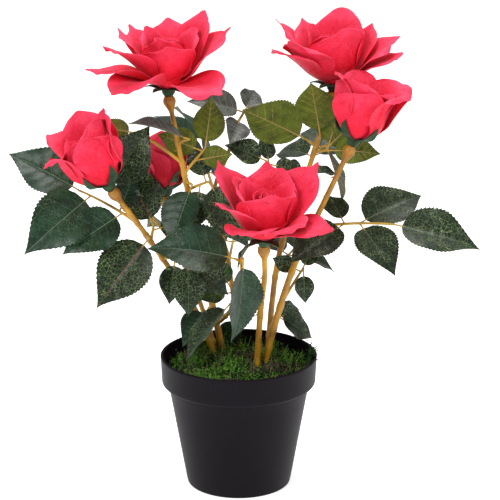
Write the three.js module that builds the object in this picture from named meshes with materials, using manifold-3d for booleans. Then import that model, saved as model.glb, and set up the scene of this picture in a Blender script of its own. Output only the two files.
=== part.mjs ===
// Artificial rose bush in a plastic nursery pot.
// Millimetres, +Z up, +X to the right seen from the front (the -Y side).
// Origin: centre of the pot's flat underside.
import * as THREE from 'three';
import { mergeVertices } from 'three/addons/utils/BufferGeometryUtils.js';
import Module from 'manifold-3d';

const wasm = await Module();
wasm.setup();

// ---------- driving dimensions ----------
// GAP parts touching pieces. Corners closer than MERGE are one corner, and edges shorter than
// SLIVER are dropped. Corners closer than TWIN are drawn apart by HAIR.
const GAP = 0.3;
const MERGE = 1e-4;
const SLIVER = 0.06;
const TWIN = 0.01;
const HAIR = 0.02;
const HAIR_ASIDE = 0.008;
const TOUCH_VOLUME = 1e-4;

const POT_H = 105;
const POT_RIM_R = 61;
const POT_FOOT_R = 40.5;
const POT_WALL = 2.2;
const POT_FLOOR = 4;
const LIP_H = 23;
const LIP_STEP = 6;
const LIP_ROUND = 2.2;
const RIM_ROUND = 1;
const POT_SIDES = 24;

const MOSS_TOP = 92;
const MOSS_H = 9;
const MOSS_DOME = 4;
const MOSS_LUMP = 2.4;
const MOSS_RINGS = 3;
const MOSS_SIDES = 14;
const SOCKET_CLEAR = 0.35;

const LIMB_SIDES = 6;
const LIMB_STEPS = 8;
const HIP_R = 4.4;
const HIP_LEN = 12;
const HIP_RISE = 1.35;

const CALYX_R = 5;
const CALYX_H = 7;
const SEPALS = 5;
const SEPAL_W = 8;
const SEPAL_T = 1;
const SEPAL_STATIONS = 3;
const SEPAL_REACH = 27;
const SEPAL_RISE = 20;
const SEPAL_DROOP = 16;
const CALYX_SIDES = 8;
const BLOOM_LIFT = CALYX_H * 0.9;

const PETAL_T = 1;
const PETAL_ROWS = 3;
const PETAL_COLS = 4;
const PETAL_STEPS = 4;
const PETAL_ROOT_R = 8.5;
const PETAL_TWIST = 0.12;
const PETAL_BELLY = 70;
const BELLY_END = 0.35;
const PETAL_WIDEST = 0.65;
const PETAL_NECK = 0.3;
const PETAL_NARROWS = 0.42;
const PETAL_ROUNDS = 0.13;
const PETAL_CUP = 0.4;
const TIP_CURL = 0.005;
const PETAL_SMOOTH = 0.5;
const BUD_R = 10;
const BUD_H = 38;
const BUD_SIDES = 6;

const LEAF_T = 1;
const LEAF_ASPECT = 0.68;
const LEAF_FOLD = 0.28;
const LEAF_OUTLINE = [[0, 0], [0.2, 0.86], [0.6, 0.9]];
const TWIG_R = 1.3;
const TWIG_TIP_R = 0.9;
const TWIG_SIDES = 3;
const PETIOLE = 6;
const PETIOLE_R = 0.9;
const LEAF_SUNK = 2.5;
const TWIG_ARCH = 0.06;
const TWIG_STEPS = 2;

// Stems: foot in the filling, bends and tip; r is the radius at foot and tip.
const STEMS = {
  front_rose_stem: {
    path: [[12, -4, 76], [14, -4, 97], [17, -12, 145], [20, -32, 180], [19, -44, 206]],
    r: [2.6, 2.0],
    hip: true,
  },
  right_bud_stem: {
    path: [[19, 4, 76], [21, 4, 97], [30, 2, 135], [41, 4, 170], [56, 8, 204], [86, 7, 270]],
    r: [2.9, 1.9],
    hip: true,
  },
  right_rose_stem: {
    path: [[22, 15, 76], [23, 16, 97], [26, 18, 140], [32, 24, 180], [56, 38, 249], [73, 48, 303]],
    r: [2.5, 1.8],
    hip: true,
  },
  left_bud_stem: {
    path: [[-15, 20, 76], [-20, 24, 97], [-31, 24, 126], [-43, 18, 151], [-70, -8, 203], [-95, -28, 245]],
    r: [2.6, 1.8],
    hip: true,
  },
  left_rose_stem: {
    path: [[-9, 28, 76], [-13, 30, 97], [-21, 34, 134], [-27, 35, 166], [-42, 24, 244], [-53, 11, 308]],
    r: [2.7, 1.8],
    hip: true,
  },
  back_bud_stem: {
    path: [[-15, 40, 76], [-20, 43, 97], [-38, 50, 150], [-55, 50, 187], [-57, 46, 220]],
    r: [2.2, 1.6],
    hip: true,
  },
  front_leaf_stem: {
    path: [[-18, 33, 118], [-9, 16, 132], [1, -14, 158], [3, -52, 198]],
    r: [1.9, 1.4],
    from: 'left_rose_stem',
  },
  middle_leaf_stem: {
    path: [[1, 38, 76], [0, 42, 97], [-8, 54, 160], [-19, 56, 222], [-9, 54, 250], [-1, 52, 278]],
    r: [2.2, 1.3],
  },
};

// Blooms lean from upright by so many degrees towards a heading, and their petals flare from
// a share of their length. Each petal has its heading, length, width, opening half way and at
// the tip, and height of its root on the bud.
const BLOOMS = {
  left_rose: {
    stem: 'left_rose_stem', lean: 0, toward: 0, size: 0.95, flare: 0.45,
    petals: [
      [186, 54, 52, 72, 80, 2], [223, 48, 54, 77, 114, 3], [316, 48, 50, 81, 97, 2],
      [204, 52, 48, 44, 62, 6], [4, 56, 46, 32, 42, 4], [40, 58, 40, 14, 28, 6],
      [92, 50, 46, 14, 26, 5], [140, 50, 46, 24, 36, 3], [168, 49, 44, 26, 38, 6],
      [272, 38, 46, 14, 34, 6],
    ],
  },
  right_rose: {
    stem: 'right_rose_stem', lean: 0, toward: 0, size: 0.95, flare: 0.45,
    petals: [
      [172, 57, 42, 26, 38, 4], [222, 53, 46, 34, 46, 2], [198, 50, 46, 46, 60, 2],
      [78, 57, 44, 4, 12, 6], [288, 50, 50, 6, 16, 5], [2, 53, 46, 42, 54, 4],
      [356, 50, 42, 56, 66, 2], [34, 48, 42, 24, 36, 5], [130, 52, 46, 20, 32, 3],
      [90, 50, 46, 28, 40, 2],
    ],
  },
  right_bud: {
    stem: 'right_bud_stem', lean: 17, toward: 0, size: 0.95, flare: 0.66,
    petals: [
      [282, 46, 58, 0, 24, 2], [226, 52, 50, 2, 44, 4], [340, 58, 52, 2, 98, 2],
      [30, 58, 48, 6, 70, 4], [97, 54, 50, 2, 40, 2], [168, 54, 48, 2, 70, 2],
    ],
  },
  left_bud: {
    stem: 'left_bud_stem', lean: 26, toward: 192, size: 0.97, flare: 0.66,
    petals: [
      [258, 46, 54, 0, 10, 2], [318, 54, 52, 0, 6, 4], [18, 55, 44, 2, 10, 2],
      [90, 55, 48, 0, 14, 4], [156, 56, 46, 4, 46, 2], [208, 50, 28, 14, 112, 4],
    ],
  },
  back_bud: {
    stem: 'back_bud_stem', lean: 6, toward: 110, size: 0.9, flare: 0.66,
    petals: [
      [15, 46, 44, 6, 16, 2], [95, 46, 46, 8, 20, 4], [180, 42, 44, 10, 40, 2],
      [270, 44, 46, 6, 16, 4], [225, 42, 40, 8, 26, 3],
    ],
  },
  front_rose: {
    stem: 'front_rose_stem', lean: 8, toward: 285, size: 0.9, flare: 0.45,
    petals: [
      [152, 65, 52, 22, 28, 2], [28, 65, 52, 24, 30, 2], [206, 48, 46, 34, 50, 4],
      [246, 42, 46, 46, 84, 2], [334, 53, 44, 62, 80, 3], [308, 46, 42, 44, 70, 3],
      [90, 54, 50, 22, 30, 4], [280, 47, 54, 4, 20, 6], [60, 51, 44, 8, 16, 6],
      [170, 50, 46, 8, 18, 6],
    ],
  },
};

// Leaves of a spray beside its end leaf: turn from the end leaf in degrees, how far back
// along the twig they spring, and size against the end leaf.
const FIVE_LEAVES = [[60, 0.15, 0.88], [-60, 0.15, 0.88], [75, 0.6, 0.7], [-75, 0.6, 0.7]];
const THREE_LEAVES = [[65, 0.2, 0.85], [-65, 0.2, 0.85]];

// Leaf sprays: stem and place along it, reach of the twig to its end leaf, aim of that leaf
// if it turns from the twig, heading and height of the side the leaves show, leaf length.
const SPRAYS = {
  left_spray: {
    on: 'left_bud_stem', at: 0.81, reach: [-44, 12, 22], aim: [-50, 8, 28], face: [-80, 40],
    size: 56, droop: 6, side: [[73, 0.2, 1.12], [66, 0.75, 0.9], [-80, 0.7, 0.5]],
  },
  low_left_spray: {
    on: 'left_bud_stem', at: 0.735, reach: [2, -8, 0], aim: [-37, -23, -43], face: [-95, 25],
    size: 60, droop: 6, side: [],
  },
  upper_low_left_spray: {
    on: 'left_bud_stem', at: 0.7, reach: [2, 9, 10], aim: [-18, 6, 41], face: [-80, 20],
    size: 50, droop: 4, side: [[-100, 0.3, 0.5]],
  },
  bud_side_spray: {
    on: 'left_bud_stem', at: 0.87, reach: [-17, 19, 14],
    aim: [31, 3, 45], face: [-80, 15], size: 52, droop: 4, side: [],
  },
  upper_left_spray: {
    on: 'left_rose_stem', at: 0.76, reach: [-34, -10, 26], aim: [-21, 4, 2], face: [90, -30],
    size: 28, droop: 10, side: [[-55, 0.2, 0.9]],
  },
  grey_left_spray: {
    on: 'left_rose_stem', at: 0.83, reach: [9, -12, 6], aim: [-48, -8, 11], face: [-95, 84],
    size: 46, droop: 4, side: [],
  },
  inner_top_spray: {
    on: 'left_rose_stem', at: 0.72, reach: [16, 6, 18], aim: [5, 2, 35], face: [80, 10],
    size: 36, droop: 4, side: [[-75, 0.1, 0.9], [70, 0.5, 0.7]],
  },
  middle_top_spray: {
    on: 'middle_leaf_stem', at: 0.985, reach: [6, 2, 10], aim: [-36, -10, 14], face: [-90, 55],
    size: 40, droop: 8, side: [[-110, 0, 0.7], [60, 0.5, 0.75]],
  },
  middle_high_spray: {
    on: 'right_rose_stem', at: 0.56, reach: [-18, 4, 45], aim: [-22, -4, 12], face: [-90, 40],
    size: 30, droop: 10, side: [[-60, 0.1, 0.7], [-165, 0.05, 0.7]],
  },
  right_top_spray: {
    on: 'right_rose_stem', at: 0.83, reach: [2, -8, 6], aim: [-6, -14, 34], face: [85, -10],
    size: 47, droop: 2, side: [],
  },
  right_long_spray: {
    on: 'right_rose_stem', at: 0.81, reach: [-8, -6, 8], aim: [-47, -20, 28], face: [85, 5],
    size: 56, droop: 2, side: [],
  },
  right_back_spray: {
    on: 'right_rose_stem', at: 0.79, reach: [10, -8, 4], aim: [37, 2, -1], face: [85, 10],
    size: 36, droop: 8, side: [[-50, 0.2, 0.75], [-75, 0, 1.2]],
  },
  hanging_spray: {
    on: 'right_rose_stem', at: 0.8, reach: [9, 2, 3],
    aim: [15, 3, -44], face: [10, 8], size: 44, droop: 2, side: [],
  },
  right_spray: {
    on: 'right_bud_stem', at: 0.655, reach: [62, -16, 7], aim: [70, -14, -13], face: [-90, 58],
    size: 62, droop: 4,
    side: [[51, 0.42, 0.92], [-46, 0.42, 0.78], [126, 0.6, 0.45], [-124, 0.6, 0.82]],
  },
  low_right_spray: {
    on: 'right_bud_stem', at: 0.33, reach: [18, 10, 28], aim: [1, -6, -16], face: [-90, 10],
    size: 22, droop: 14, side: [[-120, 0.1, 0.9], [150, 0.1, 0.9]],
  },
  base_right_spray: {
    on: 'right_bud_stem', at: 0.24, reach: [3, 18, 4], aim: [20, 6, -18], face: [-60, 50],
    size: 34, droop: 4, side: [[52, 0.2, 0.8]],
  },
  front_spray: {
    on: 'front_leaf_stem', at: 0.985, reach: [1, -6, 2], aim: [-3, -12, -54], face: [-34, 15],
    size: 56, droop: 4, side: [],
  },
  front_side_spray: {
    on: 'front_leaf_stem', at: 0.95, reach: [-5, -6, 5], aim: [-57, -8, 17], face: [-90, 50],
    size: 60, droop: 12, side: [],
  },
  left_low_spray: {
    on: 'left_bud_stem', at: 0.6, reach: [20, -20, 5], aim: [1, -12, -34], face: [-80, 20],
    size: 38, droop: 6, side: [[50, 0.1, 1], [-8, 0.5, 0.8]],
  },
  inner_left_spray: {
    on: 'left_rose_stem', at: 0.69, reach: [5, -12, 1], aim: [-17, -28, -40], face: [-120, 30],
    size: 46, droop: 4, side: [],
  },
  inner_right_spray: {
    on: 'left_rose_stem', at: 0.66, reach: [16, -4, 8], aim: [31, -20, -45], face: [-80, 35],
    size: 54, droop: 4, side: [[175, 0.1, 0.55], [-50, 0.4, 0.6]],
  },
  centre_spray: {
    on: 'right_rose_stem', at: 0.46, reach: [-22, 2, 8], aim: [5, -14, 7], face: [-90, 40],
    size: 26, droop: 12, side: [[90, 0.1, 0.9], [-100, 0.1, 0.9]],
  },
  inner_low_spray: {
    on: 'front_leaf_stem', at: 0.42, reach: [-4, 8, 8], aim: [-8, 10, 11], face: [-90, 40],
    size: 24, droop: 8, side: [[70, 0.3, 0.9]],
  },
  low_front_spray: {
    on: 'left_rose_stem', at: 0.25, reach: [-3, -8, -1], aim: [-30, -12, -20], face: [-60, 50],
    size: 36, droop: 4, side: [],
  },
  curved_front_spray: {
    on: 'front_leaf_stem', at: 0.36, reach: [-3, -8, 4], aim: [-32, 2, -51], face: [-165, 30],
    size: 52, droop: 4, side: [],
  },
  base_middle_spray: {
    on: 'middle_leaf_stem', at: 0.2, reach: [6, -10, 4], aim: [-12, -8, -28], face: [-90, 45],
    size: 38, droop: 4, side: [],
  },
  back_left_spray: {
    on: 'back_bud_stem', at: 0.72, reach: [-26, 34, 22], face: [100, 45], size: 46, droop: 14,
    side: THREE_LEAVES,
  },
  back_high_spray: {
    on: 'middle_leaf_stem', at: 0.7, reach: [-14, 44, 30], face: [90, 45], size: 46, droop: 14,
    side: FIVE_LEAVES,
  },
  back_right_spray: {
    on: 'right_rose_stem', at: 0.66, reach: [12, 44, 20], face: [80, 45], size: 46, droop: 14,
    side: FIVE_LEAVES,
  },
  back_low_spray: {
    on: 'middle_leaf_stem', at: 0.42, reach: [4, 46, 8], face: [90, 50], size: 46, droop: 20,
    side: THREE_LEAVES,
  },
  right_low_back_spray: {
    on: 'right_rose_stem', at: 0.36, reach: [14, 44, 8], face: [60, 45], size: 44, droop: 18,
    side: THREE_LEAVES,
  },
};

// Turns and lifts in degrees that a leaf tries in this order until it is clear.
const TRIES = [
  [0, 0], [10, 0], [-10, 0], [0, 12], [0, -12], [12, 14], [-12, 14], [12, -14], [-12, -14],
  [24, 0], [-24, 0], [0, 26], [0, -26], [24, 24], [-24, 24], [24, -24], [-24, -24],
];
const SHRINKS = [1, 0.8, 0.62];

const DEG = Math.PI / 180;
const UP = new THREE.Vector3(0, 0, 1);

const LOOKS = {
  pot: [0x2c2a2e, 0.75],
  moss: [0x3d5a22, 0.95],
  foam: [0x4a4038, 0.95],
  stem: [0xc08a32, 0.55],
  calyx: [0x23402a, 0.7],
  petal: [0xe02745, 0.75],
  leaf: [0x2e4a33, 0.6],
};

const group = new THREE.Group();
group.name = 'rose_bush';
const placed = [];

// ---------- helpers ----------
const vec = (a) => new THREE.Vector3(a[0], a[1], a[2]);
const lerp = (a, b, t) => a + (b - a) * t;

function toSolid(geometry) {
  const g = geometry.clone();
  g.deleteAttribute('normal');
  g.deleteAttribute('uv');
  const m = mergeVertices(g, MERGE);
  return new wasm.Manifold(new wasm.Mesh({
    numProp: 3,
    vertProperties: Float32Array.from(m.attributes.position.array),
    triVerts: Uint32Array.from(m.index.array),
  }));
}

function meshSolid(points, faces) {
  return new wasm.Manifold(new wasm.Mesh({
    numProp: 3,
    vertProperties: Float32Array.from(points.flatMap((p) => [p.x, p.y, p.z])),
    triVerts: Uint32Array.from(faces.flat()),
  }));
}

// Keeps the largest body, so that loose scraps of a cut are dropped.
function wholeBody(solid) {
  const bodies = solid.simplify(SLIVER).decompose().sort((a, b) => b.volume() - a.volume());
  return bodies[0];
}

// Corners that meet at one point are drawn inward by a hair, so that each edge has two faces.
function drawApart(geometry) {
  const { position, normal } = geometry.attributes;
  const corners = Array.from({ length: position.count }, (_, i) => (
    new THREE.Vector3().fromBufferAttribute(position, i)));
  corners.forEach((p, i) => {
    if (corners.some((q, j) => i !== j && p.distanceToSquared(q) < TWIN ** 2)) {
      const moved = new THREE.Vector3().fromBufferAttribute(normal, i).multiplyScalar(-HAIR).add(p);
      moved.x += HAIR_ASIDE * Math.sin(i);
      moved.y += HAIR_ASIDE * Math.cos(i);
      position.setXYZ(i, moved.x, moved.y, moved.z);
    }
  });
}

function toGeometry(solid) {
  const mesh = solid.getMesh();
  const g = new THREE.BufferGeometry();
  const xyz = new Float32Array(mesh.numVert * 3);
  for (let i = 0; i < mesh.numVert; i += 1) {
    for (let k = 0; k < 3; k += 1) {
      xyz[i * 3 + k] = mesh.vertProperties[i * mesh.numProp + k];
    }
  }
  g.setAttribute('position', new THREE.BufferAttribute(xyz, 3));
  g.setIndex(new THREE.BufferAttribute(new Uint32Array(mesh.triVerts), 1));
  g.computeVertexNormals();
  drawApart(g);
  return g;
}

function boundsClear(a, b) {
  const p = a.boundingBox();
  const q = b.boundingBox();
  return [0, 1, 2].some((k) => p.max[k] < q.min[k] || q.max[k] < p.min[k]);
}

function touches(solid, others) {
  return others.some((o) => !boundsClear(solid, o) && solid.intersect(o).volume() > TOUCH_VOLUME);
}

function place(name, solid, look) {
  const body = wholeBody(solid);
  const mesh = new THREE.Mesh(toGeometry(body), new THREE.MeshStandardMaterial({
    color: LOOKS[look][0], roughness: LOOKS[look][1], metalness: 0,
  }));
  mesh.name = name;
  group.add(mesh);
  placed.push({ name, solid: body });
  return body;
}

function frameOf(axis, hint) {
  const z = axis.clone().normalize();
  const x = hint.clone().addScaledVector(z, -hint.dot(z)).normalize();
  const y = z.clone().cross(x);
  return new THREE.Matrix4().makeBasis(x, y, z);
}

// ---------- stems ----------
function stemCurve(row) {
  return new THREE.CatmullRomCurve3(row.path.map(vec), false, 'centripetal');
}

// One tapering limb along a curve, closed by flat ends.
function limb(curve, radiusAt, sides, steps) {
  const points = [];
  const faces = [];
  let side = new THREE.Vector3(1, 0.2, 0);
  for (let i = 0; i <= steps; i += 1) {
    const t = i / steps;
    const centre = curve.getPointAt(t);
    const along = curve.getTangentAt(t);
    side.addScaledVector(along, -side.dot(along)).normalize();
    const other = along.clone().cross(side);
    for (let k = 0; k < sides; k += 1) {
      const a = (k / sides) * Math.PI * 2;
      const r = radiusAt(t);
      points.push(centre.clone()
        .addScaledVector(side, r * Math.cos(a))
        .addScaledVector(other, r * Math.sin(a)));
    }
  }
  for (let i = 0; i < steps; i += 1) {
    for (let k = 0; k < sides; k += 1) {
      const a = i * sides + k;
      const b = i * sides + (k + 1) % sides;
      faces.push([a, b, b + sides], [a, b + sides, a + sides]);
    }
  }
  points.push(curve.getPointAt(0), curve.getPointAt(1));
  const foot = points.length - 2;
  for (let k = 0; k < sides; k += 1) {
    const last = steps * sides;
    faces.push([foot, (k + 1) % sides, k], [foot + 1, last + k, last + (k + 1) % sides]);
  }
  return meshSolid(points, faces);
}

// The stem narrows to its tip and swells there into the hip under the bloom.
function stemRadius(row, curve, extra) {
  const hipPart = row.hip ? HIP_LEN / curve.getLength() : 0;
  return (t) => {
    const bare = lerp(row.r[0], row.r[1], t) + extra;
    const up = row.hip ? Math.max(0, (t - 1 + hipPart) / hipPart) : 0;
    return bare + (HIP_R - row.r[1]) * Math.sin(Math.min(1, up * HIP_RISE) * Math.PI / 2);
  };
}

const curves = {};
const clearance = {};

function buildStem(name) {
  const row = STEMS[name];
  const curve = stemCurve(row);
  curves[name] = curve;
  clearance[name] = limb(curve, stemRadius(row, curve, GAP), LIMB_SIDES, LIMB_STEPS * 2);
  let solid = limb(curve, stemRadius(row, curve, 0), LIMB_SIDES, LIMB_STEPS * (row.hip ? 1.5 : 1));
  if (row.from) {
    solid = solid.subtract(clearance[row.from]);
  }
  place(name, solid, 'stem');
}

// ---------- blooms ----------
function bloomFrame(row) {
  const curve = curves[row.stem];
  const lean = row.lean * DEG;
  const toward = row.toward * DEG;
  const axis = new THREE.Vector3(
    Math.sin(lean) * Math.cos(toward), Math.sin(lean) * Math.sin(toward), Math.cos(lean));
  const seat = curve.getPointAt(1).addScaledVector(curve.getTangentAt(1), GAP);
  return { axis, seat };
}

// A petal leaves the bud sideways, turns up and then opens towards its tip.
function petalAngle(u, open, tip, start) {
  const belly = Math.max(0, PETAL_BELLY - open) * Math.max(0, 1 - u / BELLY_END);
  const flare = Math.max(0, (u - start) / (1 - start));
  return (open + belly + (tip - open) * flare) * DEG;
}

// Radius, height and angle of a petal's middle line at the end of each row.
function petalLine(len, open, tip, root, start) {
  const count = PETAL_ROWS * PETAL_STEPS;
  const step = len / count;
  const line = [{ r: PETAL_ROOT_R, z: root, a: petalAngle(0, open, tip, start) }];
  let { r, z } = line[0];
  for (let i = 1; i <= count; i += 1) {
    const a = petalAngle((i - 0.5) / count, open, tip, start);
    r += step * Math.sin(a);
    z += step * Math.cos(a);
    if (i % PETAL_STEPS === 0) {
      line.push({ r, z, a: petalAngle(i / count, open, tip, start) });
    }
  }
  return line;
}

// Half the width of a petal at a share of its length, against half its full width.
function petalShape(u) {
  return u < PETAL_WIDEST
    ? lerp(PETAL_NECK, 1, Math.sin((u / PETAL_WIDEST) * Math.PI / 2))
    : 1 - PETAL_NARROWS * ((u - PETAL_WIDEST) / (1 - PETAL_WIDEST)) ** 2;
}

// A cupped sheet rooted on the bud, which thins to nothing at its rim.
function petal([heading, len, width, open, tip, root], start, thick) {
  const points = [];
  const faces = [];
  const rows = PETAL_ROWS;
  const cols = PETAL_COLS;
  const turn = new THREE.Matrix4().makeRotationZ(heading * DEG);
  const grid = [];
  petalLine(len, open, tip, root, start).forEach(({ r, z, a }, i) => {
    const u = i / rows;
    const half = (width / 2) * petalShape(u);
    const cup = lerp(PETAL_CUP / (7 + r * 0.55), -TIP_CURL, u ** 3 * (tip / 120));
    const line = [];
    for (let j = 0; j <= cols; j += 1) {
      const v = (j / cols) * 2 - 1;
      const w = v * half;
      const short = len * PETAL_ROUNDS * (u * v) ** 2;
      const inward = Math.min(cup * w * w, half * 0.9) + w * PETAL_TWIST;
      const middle = new THREE.Vector3(
        r - short * Math.sin(a) - inward * Math.cos(a),
        w * (1 - 0.1 * Math.abs(v) * (1 - u)),
        z - short * Math.cos(a) + inward * Math.sin(a));
      const normal = new THREE.Vector3(-Math.cos(a), 0, Math.sin(a));
      const rim = i === 0 || i === rows || j === 0 || j === cols;
      const offsets = rim ? [0] : [thick / 2, -thick / 2];
      const ids = offsets.map((offset) => {
        points.push(middle.clone().addScaledVector(normal, offset).applyMatrix4(turn));
        return points.length - 1;
      });
      line.push([ids[0], ids[ids.length - 1]]);
    }
    grid.push(line);
  });
  for (let i = 0; i < rows; i += 1) {
    for (let j = 0; j < cols; j += 1) {
      const cell = [grid[i][j], grid[i][j + 1], grid[i + 1][j + 1], grid[i + 1][j]];
      const turned = (i < rows / 2) !== (j < cols / 2);
      const [a, b, c, d] = turned ? [cell[1], cell[2], cell[3], cell[0]] : cell;
      faces.push([a[0], c[0], b[0]], [a[0], d[0], c[0]]);
      faces.push([a[1], b[1], c[1]], [a[1], c[1], d[1]]);
    }
  }
  return meshSolid(points, faces);
}

function lathe(profile, sides) {
  return toSolid(new THREE.LatheGeometry(profile.map((p) => new THREE.Vector2(p[0], p[1])), sides)
    .rotateX(Math.PI / 2));
}

function bloomSolid(row, thick) {
  const bud = lathe([
    [0, 0], [BUD_R * 0.7, 0], [BUD_R * 1.16, 5], [BUD_R * 1.1, 10], [BUD_R * 0.84, 15],
    [BUD_R * 0.74, BUD_H - 12], [BUD_R * 0.45, BUD_H], [0, BUD_H - 5],
  ], BUD_SIDES);
  const sheets = [bud, ...row.petals.map((each) => petal(each, row.flare, thick))];
  return wasm.Manifold.union(sheets).simplify(PETAL_SMOOTH).scale(row.size);
}

// A pointed sepal; extra grows it on every side and thick is measured across it.
function sepalSolid(heading, droop, thick, extra) {
  const curve = new THREE.CatmullRomCurve3([
    new THREE.Vector3(CALYX_R * 0.5, 0, CALYX_H * 0.7),
    new THREE.Vector3(CALYX_R * 1.7, 0, CALYX_H + 1),
    new THREE.Vector3(SEPAL_REACH * 0.74, 0, CALYX_H + SEPAL_RISE * 0.7 - droop * 0.3),
    new THREE.Vector3(SEPAL_REACH, 0, CALYX_H + SEPAL_RISE - droop * 0.5),
  ]);
  const points = [];
  const faces = [];
  points.push(curve.getPoint(0).addScaledVector(curve.getTangent(0), -extra));
  for (let i = 1; i < SEPAL_STATIONS; i += 1) {
    const t = i / SEPAL_STATIONS;
    const half = (SEPAL_W / 2) * Math.sin(Math.PI * Math.min(1, 0.25 + t * 0.75)) + extra;
    const c = curve.getPoint(t);
    const across = new THREE.Vector3(0, half, 0);
    const out = curve.getTangent(t).cross(new THREE.Vector3(0, 1, 0)).multiplyScalar(thick / 2);
    points.push(c.clone().sub(across), c.clone().add(out), c.clone().add(across), c.clone().sub(out));
  }
  points.push(curve.getPoint(1).addScaledVector(curve.getTangent(1), extra * 6));
  ringFaces(faces, SEPAL_STATIONS - 1, 4);
  return meshSolid(points, faces).rotate([0, 0, heading]);
}

// Faces of a body that starts at one point, runs through rings and ends at one point.
function ringFaces(faces, rings, sides) {
  const last = rings * sides + 1;
  for (let k = 0; k < sides; k += 1) {
    const next = (k + 1) % sides;
    faces.push([0, 1 + k, 1 + next]);
    for (let i = 0; i < rings - 1; i += 1) {
      const a = 1 + i * sides + k;
      const b = 1 + i * sides + next;
      faces.push([a, a + sides, b + sides], [a, b + sides, b]);
    }
    const base = 1 + (rings - 1) * sides;
    faces.push([base + k, last, base + next]);
  }
}

// The cup under a bloom with its sepals, every other one drooping.
function calyxSolid(thick, extra) {
  const cup = lathe([
    [0, -extra], [CALYX_R * 0.7 + extra, -extra], [CALYX_R + extra, CALYX_H * 0.6],
    [CALYX_R * 1.3 + extra, CALYX_H + extra], [0, CALYX_H + extra],
  ], CALYX_SIDES);
  const parts = [cup];
  for (let k = 0; k < SEPALS; k += 1) {
    parts.push(sepalSolid((k * 360) / SEPALS + 18, (k % 2) * SEPAL_DROOP, thick, extra));
  }
  return wasm.Manifold.union(parts);
}

function buildBloom(name) {
  const row = BLOOMS[name];
  const { axis, seat } = bloomFrame(row);
  const basis = frameOf(axis, new THREE.Vector3(1, 0, 0)).setPosition(seat);
  const hip = clearance[row.stem];
  const calyx = calyxSolid(SEPAL_T, 0).transform(basis.elements).subtract(hip);
  place(`${name}_calyx`, calyx, 'calyx');
  const room = calyxSolid(SEPAL_T + 2 * GAP, GAP).transform(basis.elements);
  const petals = bloomSolid(row, PETAL_T).translate([0, 0, BLOOM_LIFT]).transform(basis.elements);
  place(name, petals.subtract(room).subtract(hip), 'petal');
}

// ---------- leaves ----------
// A folded blade on its short stalk; droop bends it away from the face towards the tip.
function leaf(base, along, face, length, droop, thick) {
  const side = along.clone().cross(face).normalize();
  const grow = (thick - LEAF_T) / 2;
  const half = (length * LEAF_ASPECT) / 2;
  const points = [base.clone().addScaledVector(along, -LEAF_SUNK)];
  const faces = [];
  const at = (t) => base.clone()
    .addScaledVector(along, PETIOLE + (length + grow) * t * Math.cos(droop * DEG * t))
    .addScaledVector(face, -(length + grow) * t * Math.sin(droop * DEG * t));
  LEAF_OUTLINE.forEach(([t, part]) => {
    const w = Math.max(half * part, PETIOLE_R) + grow;
    const middle = at(t);
    const edge = (hand) => middle.clone().addScaledVector(side, hand * w)
      .addScaledVector(face, part * half * LEAF_FOLD);
    const deep = part > 0 ? thick / 2 : PETIOLE_R + grow;
    points.push(edge(1), middle.clone().addScaledVector(face, deep),
      edge(-1), middle.clone().addScaledVector(face, -deep));
  });
  points.push(at(1));
  ringFaces(faces, LEAF_OUTLINE.length, 4);
  return meshSolid(points, faces);
}

// The twig arches a little on its way to its end leaf.
function twigCurve(from, to) {
  const mid = from.clone().lerp(to, 0.5).addScaledVector(UP, TWIG_ARCH * from.distanceTo(to));
  return new THREE.QuadraticBezierCurve3(from, mid, to);
}

// Where each leaf of a spray springs, its direction in the spray's plane and its length.
function leafPlan(row, curve) {
  const aim = vec(row.aim ?? row.reach).normalize();
  const [az, el] = row.face.map((a) => a * DEG);
  const face = new THREE.Vector3(
    Math.cos(el) * Math.cos(az), Math.cos(el) * Math.sin(az), Math.sin(el));
  face.addScaledVector(aim, -face.dot(aim)).normalize();
  return [[0, 0, 1], ...row.side].map(([turn, back, scale]) => ({
    base: curve.getPoint(1 - back),
    along: aim.clone().applyAxisAngle(face, turn * DEG),
    face,
    length: row.size * scale,
  }));
}

// The leaf in the first of its tries that keeps clear of everything placed before.
function fitLeaf(plan, droop, others) {
  const side = plan.along.clone().cross(plan.face).normalize();
  for (const shrink of SHRINKS) {
    for (const [turn, lift] of TRIES) {
      const along = plan.along.clone()
        .applyAxisAngle(side, lift * DEG)
        .applyAxisAngle(plan.face, turn * DEG);
      const face = plan.face.clone().applyAxisAngle(side, lift * DEG)
        .applyAxisAngle(plan.face, turn * DEG);
      const length = plan.length * shrink;
      const roomy = leaf(plan.base, along, face, length, droop, LEAF_T + 2 * GAP);
      if (!touches(roomy, others)) {
        return leaf(plan.base, along, face, length, droop, LEAF_T);
      }
    }
  }
  return null;
}

function buildSpray(name) {
  const row = SPRAYS[name];
  const start = curves[row.on].getPointAt(row.at);
  const curve = twigCurve(start, start.clone().add(vec(row.reach)));
  const others = placed.map((p) => p.solid);
  const twig = limb(curve, (t) => lerp(TWIG_R, TWIG_TIP_R, t), TWIG_SIDES, TWIG_STEPS);
  const leaves = leafPlan(row, curve)
    .map((plan) => fitLeaf(plan, row.droop, others))
    .filter((solid) => solid !== null);
  const solid = wasm.Manifold.union([twig, ...leaves]);
  place(name, solid.subtract(clearance[row.on]), 'leaf');
}

// ---------- pot, filling and moss ----------
// Inner radius of the pot at a height below its lip.
function wallRadius(z) {
  return lerp(POT_FOOT_R, POT_RIM_R - LIP_STEP, z / (POT_H - LIP_H)) - POT_WALL;
}

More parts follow.
